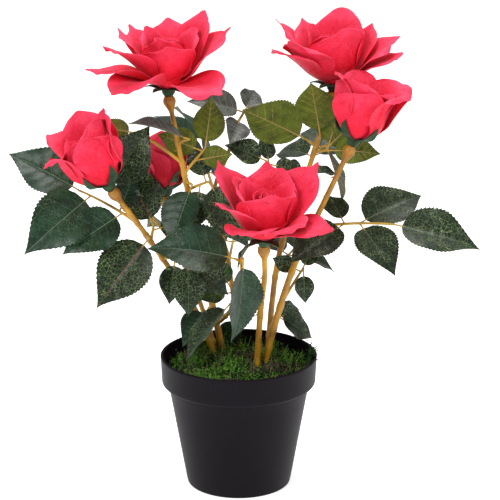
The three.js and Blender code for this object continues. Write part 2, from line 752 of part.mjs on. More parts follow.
function buildPot() {
  const stepZ = POT_H - LIP_H;
  const neck = POT_RIM_R - LIP_STEP;
  place('pot', lathe([
    [0, 0], [POT_FOOT_R, 0], [neck - 0.5, stepZ - 5], [neck, stepZ - 3],
    [POT_RIM_R - LIP_ROUND, stepZ + 1.5], [POT_RIM_R - RIM_ROUND, stepZ + 5],
    [POT_RIM_R, POT_H - RIM_ROUND], [POT_RIM_R - 0.7, POT_H],
    [POT_RIM_R - POT_WALL, POT_H], [POT_RIM_R - POT_WALL - 2, stepZ + 3],
    [neck - POT_WALL, stepZ], [wallRadius(POT_FLOOR), POT_FLOOR], [0, POT_FLOOR],
  ], POT_SIDES), 'pot');
}

// The holes that the rooted stems stand in.
function sockets() {
  const pegs = Object.keys(STEMS).filter((name) => !STEMS[name].from).map((name) => {
    const row = STEMS[name];
    const curve = curves[name];
    const radius = (t) => lerp(row.r[0], row.r[1], t) + SOCKET_CLEAR;
    return limb(curve, radius, LIMB_SIDES, LIMB_STEPS * 2);
  });
  return wasm.Manifold.union(pegs);
}

// The moss rises to a low dome with lumps.
function mossHeight(r, angle) {
  const dome = MOSS_DOME * (1 - (r / (POT_RIM_R - LIP_STEP)) ** 2);
  const lumps = Math.sin(r * 0.42 + 1) * Math.cos(angle * 5 + r * 0.21)
    + 0.7 * Math.sin(angle * 9 - r * 0.33);
  return MOSS_TOP + dome + MOSS_LUMP * lumps * 0.6;
}

function buildFilling() {
  const holes = sockets();
  const top = MOSS_TOP - MOSS_H;
  const inner = POT_RIM_R - POT_WALL - 2 - 2 * GAP;
  const plug = lathe([
    [0, POT_FLOOR + GAP], [wallRadius(POT_FLOOR) - GAP * 2, POT_FLOOR + GAP],
    [wallRadius(POT_H - LIP_H) - GAP * 2, POT_H - LIP_H - GAP], [0, POT_H - LIP_H - GAP],
  ], POT_SIDES);
  place('filling', plug.subtract(holes), 'foam');
  const points = [];
  const faces = [];
  points.push(new THREE.Vector3(0, 0, top));
  const ring = (r, zAt) => {
    for (let k = 0; k < MOSS_SIDES; k += 1) {
      const a = (k / MOSS_SIDES) * Math.PI * 2;
      points.push(new THREE.Vector3(r * Math.cos(a), r * Math.sin(a), zAt(r, a)));
    }
  };
  ring(POT_RIM_R - LIP_STEP - POT_WALL - 2 * GAP, () => top);
  for (let i = MOSS_RINGS; i > 0; i -= 1) {
    ring((inner * i) / MOSS_RINGS, mossHeight);
  }
  points.push(new THREE.Vector3(0, 0, mossHeight(0, 0)));
  ringFaces(faces, MOSS_RINGS + 1, MOSS_SIDES);
  const flipped = faces.map(([a, b, c]) => [a, c, b]);
  place('moss_bed', meshSolid(points, flipped).subtract(holes), 'moss');
}

// ---------- assembly ----------
buildPot();
Object.keys(STEMS).forEach(buildStem);
buildFilling();
Object.keys(BLOOMS).forEach(buildBloom);
Object.keys(SPRAYS).forEach(buildSpray);

export default group;
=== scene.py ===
"""Artificial rose bush in a plastic pot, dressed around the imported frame.

Lengths are in millimetres and become metres where a mesh is made. +Z is up, the front is -Y.
"""
from collections import namedtuple
from math import cos, exp, hypot, pi, radians, sin, sqrt
from random import Random

import bpy
import numpy as np
from mathutils import Matrix, Vector, noise


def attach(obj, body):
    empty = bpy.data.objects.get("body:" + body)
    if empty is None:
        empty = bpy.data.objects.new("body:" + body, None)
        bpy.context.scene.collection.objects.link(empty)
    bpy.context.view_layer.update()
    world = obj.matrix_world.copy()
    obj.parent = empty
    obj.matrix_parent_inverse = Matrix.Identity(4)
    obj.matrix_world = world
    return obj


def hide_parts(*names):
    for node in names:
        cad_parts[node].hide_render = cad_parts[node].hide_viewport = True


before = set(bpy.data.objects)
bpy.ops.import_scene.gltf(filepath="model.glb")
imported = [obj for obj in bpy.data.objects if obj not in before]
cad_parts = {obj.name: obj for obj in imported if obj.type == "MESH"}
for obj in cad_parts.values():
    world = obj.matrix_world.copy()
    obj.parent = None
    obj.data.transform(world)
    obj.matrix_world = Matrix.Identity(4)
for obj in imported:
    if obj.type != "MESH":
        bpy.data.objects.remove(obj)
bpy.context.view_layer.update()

MM = 0.001
# What the source leaves between two parts that touch.
GAP = 0.3

# ---------- the source's driving dimensions ----------
POT_H = 105
POT_RIM_R = 61
POT_FOOT_R = 40.5
POT_WALL = 2.2
POT_FLOOR = 4
LIP_H = 23
LIP_STEP = 6

MOSS_TOP = 92
MOSS_DOME = 4

HIP_R = 4.4
HIP_LEN = 12
CALYX_R = 5
CALYX_H = 7
SEPALS = 5
SEPAL_W = 8

PETAL_ROOT_R = 8.5
PETAL_TWIST = 0.12
PETAL_BELLY = 70
BELLY_END = 0.35
PETAL_WIDEST = 0.65
PETAL_NECK = 0.3
PETAL_NARROWS = 0.42
PETAL_ROUNDS = 0.13
PETAL_CUP = 0.4
TIP_CURL = 0.005

LEAF_ASPECT = 0.68
LEAF_FOLD = 0.28
TWIG_R = 1.3
TWIG_TIP_R = 0.9
PETIOLE = 6
TWIG_ARCH = 0.06

# ---------- dimensions that only the looks have ----------
# First and last radius of a turned profile, so that no ring is a single point.
AXIS_R = 0.01

POT_SIDES = 144
FOOT_RECESS = 1.2
FOOT_RING_W = 7
FOOT_ROUND = 1.5
LIP_ROUND = 2.6
RIM_ROUND = 1.1
FILLING_SIDES = 64

# Lumps of the moss: height, layer of the noise and scale.
MOSS_LUMPS = ((2.2, 3, 0.09), (1.6, 9, 0.22))
MOSS_R = 56
MOSS_DOME_R = 55
MOSS_SINK = 1.2
MOSS_RINGS = 22
MOSS_SIDES = 96
MOSS_SPRIGS = 3000
# Noise under which a spot has no sprigs, and over which they are bright or deep green.
MOSS_HOLLOW = -0.3
MOSS_BRIGHT = 0.1
MOSS_DEEP = -0.24
SPRIG_STEPS = 4
SPRIG_LENGTHS = (5, 15)
SPRIG_WIDTHS = (0.45, 0.95)
SPRIG_LEAN = 0.75
SPRIG_ROOT = 0.8
RIM_SPRIGS = 40
RIM_SPRIG_R = 72

STEM_SIDES = 14
STEM_STEP = 1.6
HIP_NECK = 3
HIP_SWELL = 0.5
SLEEVE_RISE = 0.42
SLEEVE_HALF = 2.6
# Sleeves that carry no spray, as shares of the stem's length.
BARE_SLEEVES = [0.16, 0.47]
THORN_SPAN = (0.42, 0.9)
THORN_RADII = [0.9, 0.5, 0.12]

PETAL_T = 0.45
PETAL_ROWS = 18
PETAL_COLS = 16
BELLY_ROWS = 11
# Depth of the edge's roll, and the share of the length where the rim's roll starts.
PETAL_CURL = 3.3
CURL_FROM = 0.72
PETAL_WAVE = 1.15
PETAL_RIPPLE = 0.3
# Petals round the core: how far they belly and narrow, their rounded corners and their waves.
WRAP_BELLY = 0.28
WRAP_NARROWS = 0.22
WRAP_ROUND = 3.2
WRAP_WAVE = 0.35
WRAP_RIM_WAVE = 0.8
HEART_CURL = 0.8
BUD_CORE_DROP = 9
BLOOM_SEAT = CALYX_H * 0.9
BASE_SIDES = 32

CALYX_SIDES = 24
SEPAL_T = 0.6
SEPAL_ROWS = 16
SEPAL_COLS = 6
SEPAL_TURN = 18
SEPAL_HANG = 0.9
# Heights above the cup where a bud's sepal is laid on the petals, and how far off it stays.
SEPAL_RISES = (3, 7, 11, 15)
SEPAL_OFF = 0.4

LEAF_T = 0.35
LEAF_TEETH = 21
TOOTH = 0.068
TOOTH_SHARE = 0.82
LEAF_COLS = (0.0, 0.22, 0.46, 0.68, 0.86, 1.0)
LEAF_QUILT = 0.32
SIDE_VEINS = 7
VEIN_W = 0.55
VEIN_RISE = 0.16
VEIN_SINK = 0.08
VEIN_SLANT = 0.55
VEIN_REACH = 0.94
VEIN_STEPS = 6
RIB_W = 2.1 * VEIN_W
RIB_STEPS = 16
TWIG_SIDES = 8
TWIG_STEPS = 12
STALK_RADII = [0.85, 0.62, 0.6]

FLOOR_HALF = 30.0
FOCAL_LENGTH = 154.7
CAMERA_PLACE = (0.0088, -1.5796, 0.6662)
CAMERA_DROP = 16.8

Stem = namedtuple("Stem", "r hip path")
Bloom = namedtuple("Bloom", "lean toward size flare open petals")
Spray = namedtuple("Spray", "on at reach aim face size droop tone side")

# Stems: radius at the foot and at the tip, whether a hip swells under a bloom, and the path.
STEMS = {
    "front_rose_stem": Stem([2.6, 2.0], True, [
        [12, -4, 76], [14, -4, 97], [17, -12, 145], [20, -32, 180], [19, -44, 206]]),
    "right_bud_stem": Stem([2.9, 1.9], True, [
        [19, 4, 76], [21, 4, 97], [30, 2, 135], [41, 4, 170], [56, 8, 204], [86, 7, 270]]),
    "right_rose_stem": Stem([2.5, 1.8], True, [
        [22, 15, 76], [23, 16, 97], [26, 18, 140], [32, 24, 180], [56, 38, 249], [73, 48, 303]]),
    "left_bud_stem": Stem([2.6, 1.8], True, [
        [-15, 20, 76], [-20, 24, 97], [-31, 24, 126], [-43, 18, 151], [-70, -8, 203],
        [-95, -28, 245]]),
    "left_rose_stem": Stem([2.7, 1.8], True, [
        [-9, 28, 76], [-13, 30, 97], [-21, 34, 134], [-27, 35, 166], [-42, 24, 244],
        [-53, 11, 308]]),
    "back_bud_stem": Stem([2.2, 1.6], True, [
        [-15, 40, 76], [-20, 43, 97], [-38, 50, 150], [-55, 50, 187], [-57, 46, 220]]),
    "front_leaf_stem": Stem([1.9, 1.4], False, [
        [-18, 33, 118], [-9, 16, 132], [1, -14, 158], [3, -52, 198]]),
    "middle_leaf_stem": Stem([2.2, 1.3], False, [
        [1, 38, 76], [0, 42, 97], [-8, 54, 160], [-19, 56, 222], [-9, 54, 250], [-1, 52, 278]]),
}

# Blooms, each on the stem of its own name: lean in degrees, heading of the lean, size, share of
# a petal's length where it begins to flare, whether it is open, and each outer petal as heading,
# length, width, opening half way and at the tip, and height of its root on the bud.
BLOOMS = {
    "left_rose": Bloom(0, 0, 0.95, 0.45, True, [
        [186, 54, 52, 72, 80, 2], [223, 48, 54, 77, 114, 3], [316, 48, 50, 81, 97, 2],
        [204, 52, 48, 44, 62, 6], [4, 56, 46, 32, 42, 4], [40, 58, 40, 14, 28, 6],
        [92, 50, 46, 14, 26, 5], [140, 50, 46, 24, 36, 3], [168, 49, 44, 26, 38, 6],
        [272, 38, 46, 14, 34, 6]]),
    "right_rose": Bloom(0, 0, 0.95, 0.45, True, [
        [172, 57, 42, 26, 38, 4], [222, 53, 46, 34, 46, 2], [198, 50, 46, 46, 60, 2],
        [78, 57, 44, 4, 12, 6], [288, 50, 50, 6, 16, 5], [2, 53, 46, 42, 54, 4],
        [356, 50, 42, 56, 66, 2], [34, 48, 42, 24, 36, 5], [130, 52, 46, 20, 32, 3],
        [90, 50, 46, 28, 40, 2]]),
    "right_bud": Bloom(17, 0, 0.95, 0.66, False, [
        [282, 46, 58, 0, 24, 2], [226, 52, 50, 2, 44, 4], [340, 58, 52, 2, 98, 2],
        [30, 58, 48, 6, 70, 4], [97, 54, 50, 2, 40, 2], [168, 54, 48, 2, 70, 2]]),
    "left_bud": Bloom(26, 192, 0.97, 0.66, False, [
        [258, 46, 54, 0, 10, 2], [318, 54, 52, 0, 6, 4], [18, 55, 44, 2, 10, 2],
        [90, 55, 48, 0, 14, 4], [156, 56, 46, 4, 46, 2], [208, 50, 28, 14, 112, 4]]),
    "back_bud": Bloom(6, 110, 0.9, 0.66, False, [
        [15, 46, 44, 6, 16, 2], [95, 46, 46, 8, 20, 4], [180, 42, 44, 10, 40, 2],
        [270, 44, 46, 6, 16, 4], [225, 42, 40, 8, 26, 3]]),
    "front_rose": Bloom(8, 285, 0.9, 0.45, True, [
        [152, 65, 52, 22, 28, 2], [28, 65, 52, 24, 30, 2], [206, 48, 46, 34, 50, 4],
        [246, 42, 46, 46, 84, 2], [334, 53, 44, 62, 80, 3], [308, 46, 42, 44, 70, 3],
        [90, 54, 50, 22, 30, 4], [280, 47, 54, 4, 20, 6], [60, 51, 44, 8, 16, 6],
        [170, 50, 46, 8, 18, 6]]),
}

# The petals' colours from the deep red of the foot, a painted shade in the hollows, to the pinker
# rim, a painted highlight, and the shares of the length where the next one starts.
REDS_SHADE_TO_HIGHLIGHT = [(0.76, 0.0050, 0.022), (0.78, 0.0072, 0.030), (0.80, 0.0100, 0.039),
        (0.815, 0.0135, 0.050), (0.83, 0.0180, 0.063)]
BAND_STARTS = (0.36, 0.52, 0.68, 0.84)
BAND_RISE = 0.1
BAND_JITTER = 0.02
# The back bud's petals are darkened by this share: painted shade, as the bud stands behind the
# others and in their shadow.
BACK_BUD_SHADE = 0.82

# Petals wound round the middle of every bloom: heading, span, radius, spiral, foot, top, flare.
CORE = [
    (0, 300, 2.0, 0.7, 6, 39, 0.5), (110, 250, 3.8, 0.8, 5, 38.5, 0.9),
    (235, 230, 5.4, 0.8, 5, 37.5, 1.4), (350, 210, 7.2, 0.8, 4, 38, 2.2),
    (120, 200, 9.0, 0.8, 4, 39, 3.0),
]

# Petals between the core and the outer ones, of an open rose and of a bud.
ROSE_HEART = [[20, 44, 36, 4, 18, 7], [140, 43, 36, 4, 14, 7], [255, 40, 36, 4, 20, 7]]
BUD_HEART = [[10, 40, 36, 2, 16, 6], [130, 39, 36, 2, 12, 6], [250, 34, 36, 2, 14, 6]]

# Profiles of the closed base between the petals, as radius and height.
ROSE_BASE = [(AXIS_R, -0.2), (7, 0.2), (10.8, 4), (10.6, 9), (8.5, 14), (AXIS_R, 15)]
BUD_BASE = [(AXIS_R, -0.2), (7, 0.2), (12.4, 5), (14.6, 11), (14.2, 19), (13.2, 20),
            (11.5, 14), (AXIS_R, 12)]

# Side leaves of a spray: turn from the end leaf, place back along the twig, and size.
FIVE_LEAVES = [[60, 0.15, 0.88], [-60, 0.15, 0.88], [75, 0.6, 0.7], [-75, 0.6, 0.7]]
THREE_LEAVES = [[65, 0.2, 0.85], [-65, 0.2, 0.85]]

# Leaf sprays as in the source: the stem and the share of its length, the twig's reach, the end
# leaf's direction where it isn't the twig's, the heading and rise that the leaf faces, its size,
# its droop in degrees, the family of its colours and the side leaves.
SPRAYS = {
    "left_spray": Spray("left_bud_stem", 0.81, [-44, 12, 22], [-50, 8, 28], [-80, 40],
        56, 6, "blue", [[73, 0.2, 1.12], [66, 0.75, 0.9], [-80, 0.7, 0.5]]),
    "low_left_spray": Spray("left_bud_stem", 0.735, [2, -8, 0], [-37, -23, -43], [-95, 25],
        60, 6, "red", []),
    "upper_low_left_spray": Spray("left_bud_stem", 0.7, [2, 9, 10], [-18, 6, 41], [-80, 20],
        50, 4, "red", [[-100, 0.3, 0.5]]),
    "bud_side_spray": Spray("left_bud_stem", 0.87, [-17, 19, 14], [31, 3, 45], [-80, 15],
        52, 4, "dark", []),
    "upper_left_spray": Spray("left_rose_stem", 0.76, [-34, -10, 26], [-21, 4, 2], [90, -30],
        28, 10, "bright", [[-55, 0.2, 0.9]]),
    "grey_left_spray": Spray("left_rose_stem", 0.83, [9, -12, 6], [-48, -8, 11], [-95, 84],
        46, 4, "grey", []),
    "inner_top_spray": Spray("left_rose_stem", 0.72, [16, 6, 18], [5, 2, 35], [80, 10],
        36, 4, "bright", [[-75, 0.1, 0.9], [70, 0.5, 0.7]]),
    "middle_top_spray": Spray("middle_leaf_stem", 0.985, [6, 2, 10], [-36, -10, 14], [-90, 55],
        40, 8, "grey", [[-110, 0, 0.7], [60, 0.5, 0.75]]),
    "middle_high_spray": Spray("right_rose_stem", 0.56, [-18, 4, 45], [-22, -4, 12], [-90, 40],
        30, 10, "dark", [[-60, 0.1, 0.7], [-165, 0.05, 0.7]]),
    "right_top_spray": Spray("right_rose_stem", 0.83, [2, -8, 6], [-6, -14, 34], [85, -10],
        47, 2, "bright", []),
    "right_long_spray": Spray("right_rose_stem", 0.81, [-8, -6, 8], [-47, -20, 28], [85, 5],
        56, 2, "bright", []),
    "right_back_spray": Spray("right_rose_stem", 0.79, [10, -8, 4], [37, 2, -1], [85, 10],
        36, 8, "bright", [[-50, 0.2, 0.75], [-75, 0, 1.2]]),
    "hanging_spray": Spray("right_rose_stem", 0.8, [9, 2, 3], [15, 3, -44], [10, 8],
        44, 2, "grey", []),
    "right_spray": Spray("right_bud_stem", 0.655, [62, -16, 7], [70, -14, -13], [-90, 58],
        62, 4, "dark", [[51, 0.42, 0.92], [-46, 0.42, 0.78], [126, 0.6, 0.45], [-124, 0.6, 0.82]]),
    "low_right_spray": Spray("right_bud_stem", 0.33, [18, 10, 28], [1, -6, -16], [-90, 10],
        22, 14, "dark", [[-120, 0.1, 0.9], [150, 0.1, 0.9]]),
    "base_right_spray": Spray("right_bud_stem", 0.24, [3, 18, 4], [20, 6, -18], [-60, 50],
        34, 4, "dark", [[52, 0.2, 0.8]]),
    "front_spray": Spray("front_leaf_stem", 0.985, [1, -6, 2], [-3, -12, -54], [-34, 15],
        56, 4, "blue", []),
    "front_side_spray": Spray("front_leaf_stem", 0.95, [-5, -6, 5], [-57, -8, 17], [-90, 50],
        60, 12, "blue", []),
    "left_low_spray": Spray("left_bud_stem", 0.6, [20, -20, 5], [1, -12, -34], [-80, 20],
        38, 6, "dark", [[50, 0.1, 1], [-8, 0.5, 0.8]]),
    "inner_left_spray": Spray("left_rose_stem", 0.69, [5, -12, 1], [-17, -28, -40], [-120, 30],
        46, 4, "blue", []),
    "inner_right_spray": Spray("left_rose_stem", 0.66, [16, -4, 8], [31, -20, -45], [-80, 35],
        54, 4, "dark", [[175, 0.1, 0.55], [-50, 0.4, 0.6]]),
    "centre_spray": Spray("right_rose_stem", 0.46, [-22, 2, 8], [5, -14, 7], [-90, 40],
        26, 12, "dark", [[90, 0.1, 0.9], [-100, 0.1, 0.9]]),
    "inner_low_spray": Spray("front_leaf_stem", 0.42, [-4, 8, 8], [-8, 10, 11], [-90, 40],
        24, 8, "bright", [[70, 0.3, 0.9]]),
    "low_front_spray": Spray("left_rose_stem", 0.25, [-3, -8, -1], [-30, -12, -20], [-60, 50],
        36, 4, "blue", []),
    "curved_front_spray": Spray("front_leaf_stem", 0.36, [-3, -8, 4], [-32, 2, -51], [-165, 30],
        52, 4, "dark", []),
    "base_middle_spray": Spray("middle_leaf_stem", 0.2, [6, -10, 4], [-12, -8, -28], [-90, 45],
        38, 4, "blue", []),
    "back_left_spray": Spray("back_bud_stem", 0.72, [-26, 34, 22], None, [100, 45],
        46, 14, "dark", THREE_LEAVES),
    "back_high_spray": Spray("middle_leaf_stem", 0.7, [-14, 44, 30], None, [90, 45],
        46, 14, "blue", FIVE_LEAVES),
    "back_right_spray": Spray("right_rose_stem", 0.66, [12, 44, 20], None, [80, 45],
        46, 14, "dark", FIVE_LEAVES),
    "back_low_spray": Spray("middle_leaf_stem", 0.42, [4, 46, 8], None, [90, 50],
        46, 20, "red", THREE_LEAVES),
    "right_low_back_spray": Spray("right_rose_stem", 0.36, [14, 44, 8], None, [60, 45],
        44, 18, "dark", THREE_LEAVES),
}

# Turns, lifts and sizes that the source lets a leaf try, in its order.
TRIES = [
    (0, 0), (10, 0), (-10, 0), (0, 12), (0, -12), (12, 14), (-12, 14), (12, -14), (-12, -14),
    (24, 0), (-24, 0), (0, 26), (0, -26), (24, 24), (-24, 24), (24, -24), (-24, -24),
]
SHRINKS = (1, 0.8, 0.62)
# A leaf whose tip lies further than this from the solid was left out by the source.
LEAF_MISS = 1.5

# Leaf colours by tone: upper side, underside, net veins above, ribs above, ribs below.
TONES = {
    "dark": [(0.0078, 0.0175, 0.0072), (0.046, 0.058, 0.014), (0.27, 0.38, 0.16),
             (0.09, 0.14, 0.04), (0.32, 0.22, 0.05)],
    "blue": [(0.0095, 0.030, 0.0145), (0.055, 0.075, 0.025), (0.085, 0.16, 0.07),
             (0.13, 0.20, 0.11), (0.32, 0.23, 0.07)],
    "red": [(0.0068, 0.0165, 0.0068), (0.050, 0.058, 0.014), (0.28, 0.38, 0.13),
            (0.26, 0.035, 0.015), (0.30, 0.15, 0.05)],
    "bright": [(0.014, 0.042, 0.007), (0.072, 0.102, 0.004), (0.20, 0.28, 0.05),
               (0.16, 0.19, 0.03), (0.30, 0.21, 0.05)],
    # Painted sheen: light grey sides for leaves that face the light and catch its reflection.
    "grey": [(0.060, 0.072, 0.062), (0.085, 0.088, 0.062), (0.20, 0.23, 0.17),
             (0.16, 0.19, 0.14), (0.30, 0.24, 0.12)],
}
UNDER_NET = (0.20, 0.19, 0.04)
SIDE_VEIN_SHADE = 3.4

MOSS_COLORS = {
    "moss_bright": (0.13, 0.29, 0.040), "moss_deep": (0.016, 0.050, 0.010),
    "moss_brown": (0.15, 0.11, 0.075),
}
MOSS_GROUND = (0.008, 0.012, 0.005)
POT_COLOR = (0.0032, 0.0014, 0.0040)
BLACK = (0, 0, 0)
WHITE = (1, 1, 1)

# Inputs and output of a colour mix that share their names with others.
MIX_UNDER = 6
MIX_OVER = 7
MIX_RESULT = 2


# ---------- mesh helpers ----------
def scene_object(name, data):
    made = bpy.data.objects.new(name, data)
    bpy.context.scene.collection.objects.link(made)
    return made


class Net:
    """Points, faces and material numbers of one piece, in millimetres."""

    def __init__(self):
        self.points = []
        self.faces = []
        self.slots = []
        self.count = 0

    def add(self, points, faces, slot=0):
        points = np.asarray(points, float)
        self.points.append(points)
        base = self.count
        self.faces.extend([tuple(base + i for i in face) for face in faces])
        self.slots.extend(slot if isinstance(slot, list) else [slot] * len(faces))
        self.count += len(points)

    def grid(self, points, slot=0, wrap=False, flip=False):
        """A sheet from an array of rows by columns of points; slot may be one for each face."""
        rows, cols = points.shape[:2]
        faces = []
        for i in range(rows - 1):
            for j in range(cols if wrap else cols - 1):
                k = (j + 1) % cols
                face = (i * cols + j, i * cols + k, (i + 1) * cols + k, (i + 1) * cols + j)
                faces.append(face[::-1] if flip else face)
        self.add(points.reshape(-1, 3), faces, slot)

    def piece(self, name, materials, stands_for, slot, smooth=True):
        """Makes the object, lets it ride on the one body and hides the parts that it stands for.
        """
        mesh = bpy.data.meshes.new(name)
        points = np.concatenate(self.points) * MM
        mesh.from_pydata(points.tolist(), [], self.faces)
        for material in materials:
            mesh.materials.append(material)
        mesh.polygons.foreach_set("material_index", self.slots)
        mesh.polygons.foreach_set("use_smooth", [smooth] * len(self.faces))
        mesh.update()
        obj = scene_object(name, mesh)
        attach(obj, "root")
        if stands_for:
            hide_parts(*stands_for)


def unit(v):
    v = np.asarray(v, float)
    return v / np.linalg.norm(v)


def turned(v, axis, degrees):
    """v turned about an axis, by the right-hand rule."""
    matrix = Matrix.Rotation(radians(degrees), 3, Vector(axis))
    return np.array(matrix @ Vector(v))


def wobble(point, scale):
    """Smooth noise from -1 to 1 at a point in millimetres."""
    return noise.noise(Vector(point) * scale)


def wave_start(random):
    """A random start of a wave, in radians."""
    return random.uniform(0, 6.28)


def pointing(heading, rise):
    """A unit vector from its heading and its rise above level, in degrees."""
    az, el = radians(heading), radians(rise)
    return np.array([cos(el) * cos(az), cos(el) * sin(az), sin(el)])


def ring_angles(sides):
    return np.linspace(0, 2 * pi, sides, endpoint=False)


def spun(points, angle):
    """Points turned about Z by an angle in radians."""
    c, s = cos(angle), sin(angle)
    return points @ np.array([[c, -s, 0], [s, c, 0], [0, 0, 1]]).T


class Path:
    """A centripetal curve through points, read by share of its length."""

    DIVISIONS = 200

    def __init__(self, points):
        self.knots = [np.array(p, float) for p in points]
        self.shares = np.linspace(0, 1, self.DIVISIONS + 1)
        dense = np.array([self.raw(t) for t in self.shares])
        steps = np.linalg.norm(np.diff(dense, axis=0), axis=1)
        self.runs = np.concatenate([[0], np.cumsum(steps)])
        self.length = self.runs[-1]

    def raw(self, t):
        k = self.knots
        last = len(k) - 1
        i = min(int(last * t), last - 1)
        w = last * t - i
        before = k[i - 1] if i > 0 else 2 * k[0] - k[1]
        after = k[i + 2] if i + 2 <= last else 2 * k[last] - k[last - 1]
        d0, d1, d2 = (np.linalg.norm(b - a) ** 0.5 for a, b in
                      ((before, k[i]), (k[i], k[i + 1]), (k[i + 1], after)))
        start = ((k[i] - before) / d0 - (k[i + 1] - before) / (d0 + d1)
                 + (k[i + 1] - k[i]) / d1) * d1
        end = ((k[i + 1] - k[i]) / d1 - (after - k[i]) / (d1 + d2) + (after - k[i + 1]) / d2) * d1
        c2 = -3 * k[i] + 3 * k[i + 1] - 2 * start - end
        c3 = 2 * k[i] - 2 * k[i + 1] + start + end
        return k[i] + start * w + c2 * w * w + c3 * w ** 3

    def at(self, share):
        return self.raw(np.interp(share * self.length, self.runs, self.shares))

    def tangent(self, share):
        a, b = max(0, share - 0.002), min(1, share + 0.002)
        return unit(self.at(b) - self.at(a))


def tube(net, points, radii, sides, slot=0, ridges=None):
    """A round limb through points; ridges(i, angle) scales its radius."""
    points = np.asarray(points, float)
    side = unit([1, 0.2, 0])
    rings = []
    for i, centre in enumerate(points):
        along = unit(points[min(i + 1, len(points) - 1)] - points[max(i - 1, 0)])
        side = unit(side - along * side.dot(along))
        other = np.cross(along, side)
        ring = []
        for k in range(sides):
            a = 2 * pi * k / sides
            r = radii[i] * (ridges(i, a) if ridges else 1)
            ring.append(centre + r * (cos(a) * side + sin(a) * other))
        rings.append(ring)
    net.grid(np.array(rings), slot, wrap=True)
    for end, flip in ((0, True), (-1, False)):
        ring = tuple(range(sides))
        net.add(rings[end], [ring[::-1] if flip else ring], slot)


def revolved(profile, sides, swell=lambda angle: 1):
    """Rows of points about Z from a profile of radius and height; swell(angle) scales a radius."""
    return np.array([[(r * cos(a) * swell(a), r * sin(a) * swell(a), z)
                      for a in ring_angles(sides)] for r, z in profile])


# ---------- materials ----------
def principled(name, color, roughness, **sockets):
    material = bpy.data.materials.new(name)
    material.use_nodes = True
    tree = material.node_tree
    shader = tree.nodes["Principled BSDF"]
    shader.inputs["Base Color"].default_value = (*color, 1)
    shader.inputs["Roughness"].default_value = roughness
    for socket, value in sockets.items():
        shader.inputs[socket.replace("_", " ")].default_value = value
    return material, tree, shader


def node(tree, kind, links=(), **values):
    """A node with its values set and its inputs linked from (input, node, output)."""
    made = tree.nodes.new(kind)
    for key, value in values.items():
        if hasattr(made, key):
            setattr(made, key, value)
        else:
            made.inputs[key.replace("_", " ")].default_value = value
    for into, source, out in links:
        tree.links.new(source.outputs[out], made.inputs[into])
    return made


def places(tree):
    """The node that gives a point's place in the object's own space."""
    return node(tree, "ShaderNodeTexCoord")


def speckle(tree, where, scale, detail):
    """Noise over a piece; the scale is in waves to the metre."""
    return node(tree, "ShaderNodeTexNoise", [("Vector", where, "Object")],
                Scale=scale, Detail=detail)


def ramp(tree, mask, output, low, high, start=0.0, end=1.0):
    """A colour ramp driven by a mask: low up to start and high from end."""
    made = node(tree, "ShaderNodeValToRGB", [("Fac", mask, output)])
    first, last = made.color_ramp.elements
    first.color, last.color = (*low, 1), (*high, 1)
    first.position = start
    last.position = end
    return made


def mottle(tree, where, scale, detail, *colors):
    """A colour ramp driven by noise."""
    return ramp(tree, speckle(tree, where, scale, detail), "Fac", *colors)


def relief(tree, shader, where, scale, detail, strength, depth):
    """Fine grain in the relief of a surface; depth is in metres."""
    grain = speckle(tree, where, scale, detail)
    made = node(tree, "ShaderNodeBump", [("Height", grain, "Fac")],
                Strength=strength, Distance=depth)
    tree.links.new(made.outputs["Normal"], shader.inputs["Normal"])


def overlay(tree, shader, under, mask, output, color):
    """The base colour: a ramp with one colour laid over it by a mask."""
    mixed = node(tree, "ShaderNodeMix",
                 [("Factor", mask, output), (MIX_UNDER, under, "Color")], data_type="RGBA")
    mixed.inputs[MIX_OVER].default_value = (*color, 1)
    tree.links.new(mixed.outputs[MIX_RESULT], shader.inputs["Base Color"])


def shade(color, factor):
    return tuple(min(1, c * factor) for c in color)


def mottled_material(name, color, roughness, drift, grain=None, **sockets):
    """A material whose colour drifts between two.

    drift: scale and detail of the noise, low and high colour, and where they start and end.
    grain: scale, detail, strength and depth of the relief.
    """
    material, tree, shader = principled(name, color, roughness, **sockets)
    where = places(tree)
    tree.links.new(mottle(tree, where, *drift).outputs["Color"], shader.inputs["Base Color"])
    if grain:
        relief(tree, shader, where, *grain)
    return material


def petal_material(name, color):
    """Woven polyester: fine grain in colour and relief, a soft sheen and slight mottling."""
    material, tree, shader = principled(
        name, color, 0.55, Sheen_Weight=0.28, Sheen_Roughness=0.35,
        Sheen_Tint=(1.0, 0.38, 0.48, 1), Specular_IOR_Level=0.12)
    where = places(tree)
    red, green, blue = color
    broad = mottle(tree, where, 55, 3, shade(color, 0.8),
                   (min(1, red * 1.06), green * 2.8, blue * 2.0), 0.32, 0.66)
    threads = mottle(tree, where, 1150, 2, BLACK, WHITE, 0.4, 0.95)
    overlay(tree, shader, broad, threads, "Color",
            (min(1, red * 1.15), green * 5.5, blue * 2.5))
    relief(tree, shader, where, 1300, 2, 0.3, 0.0003)
    return material


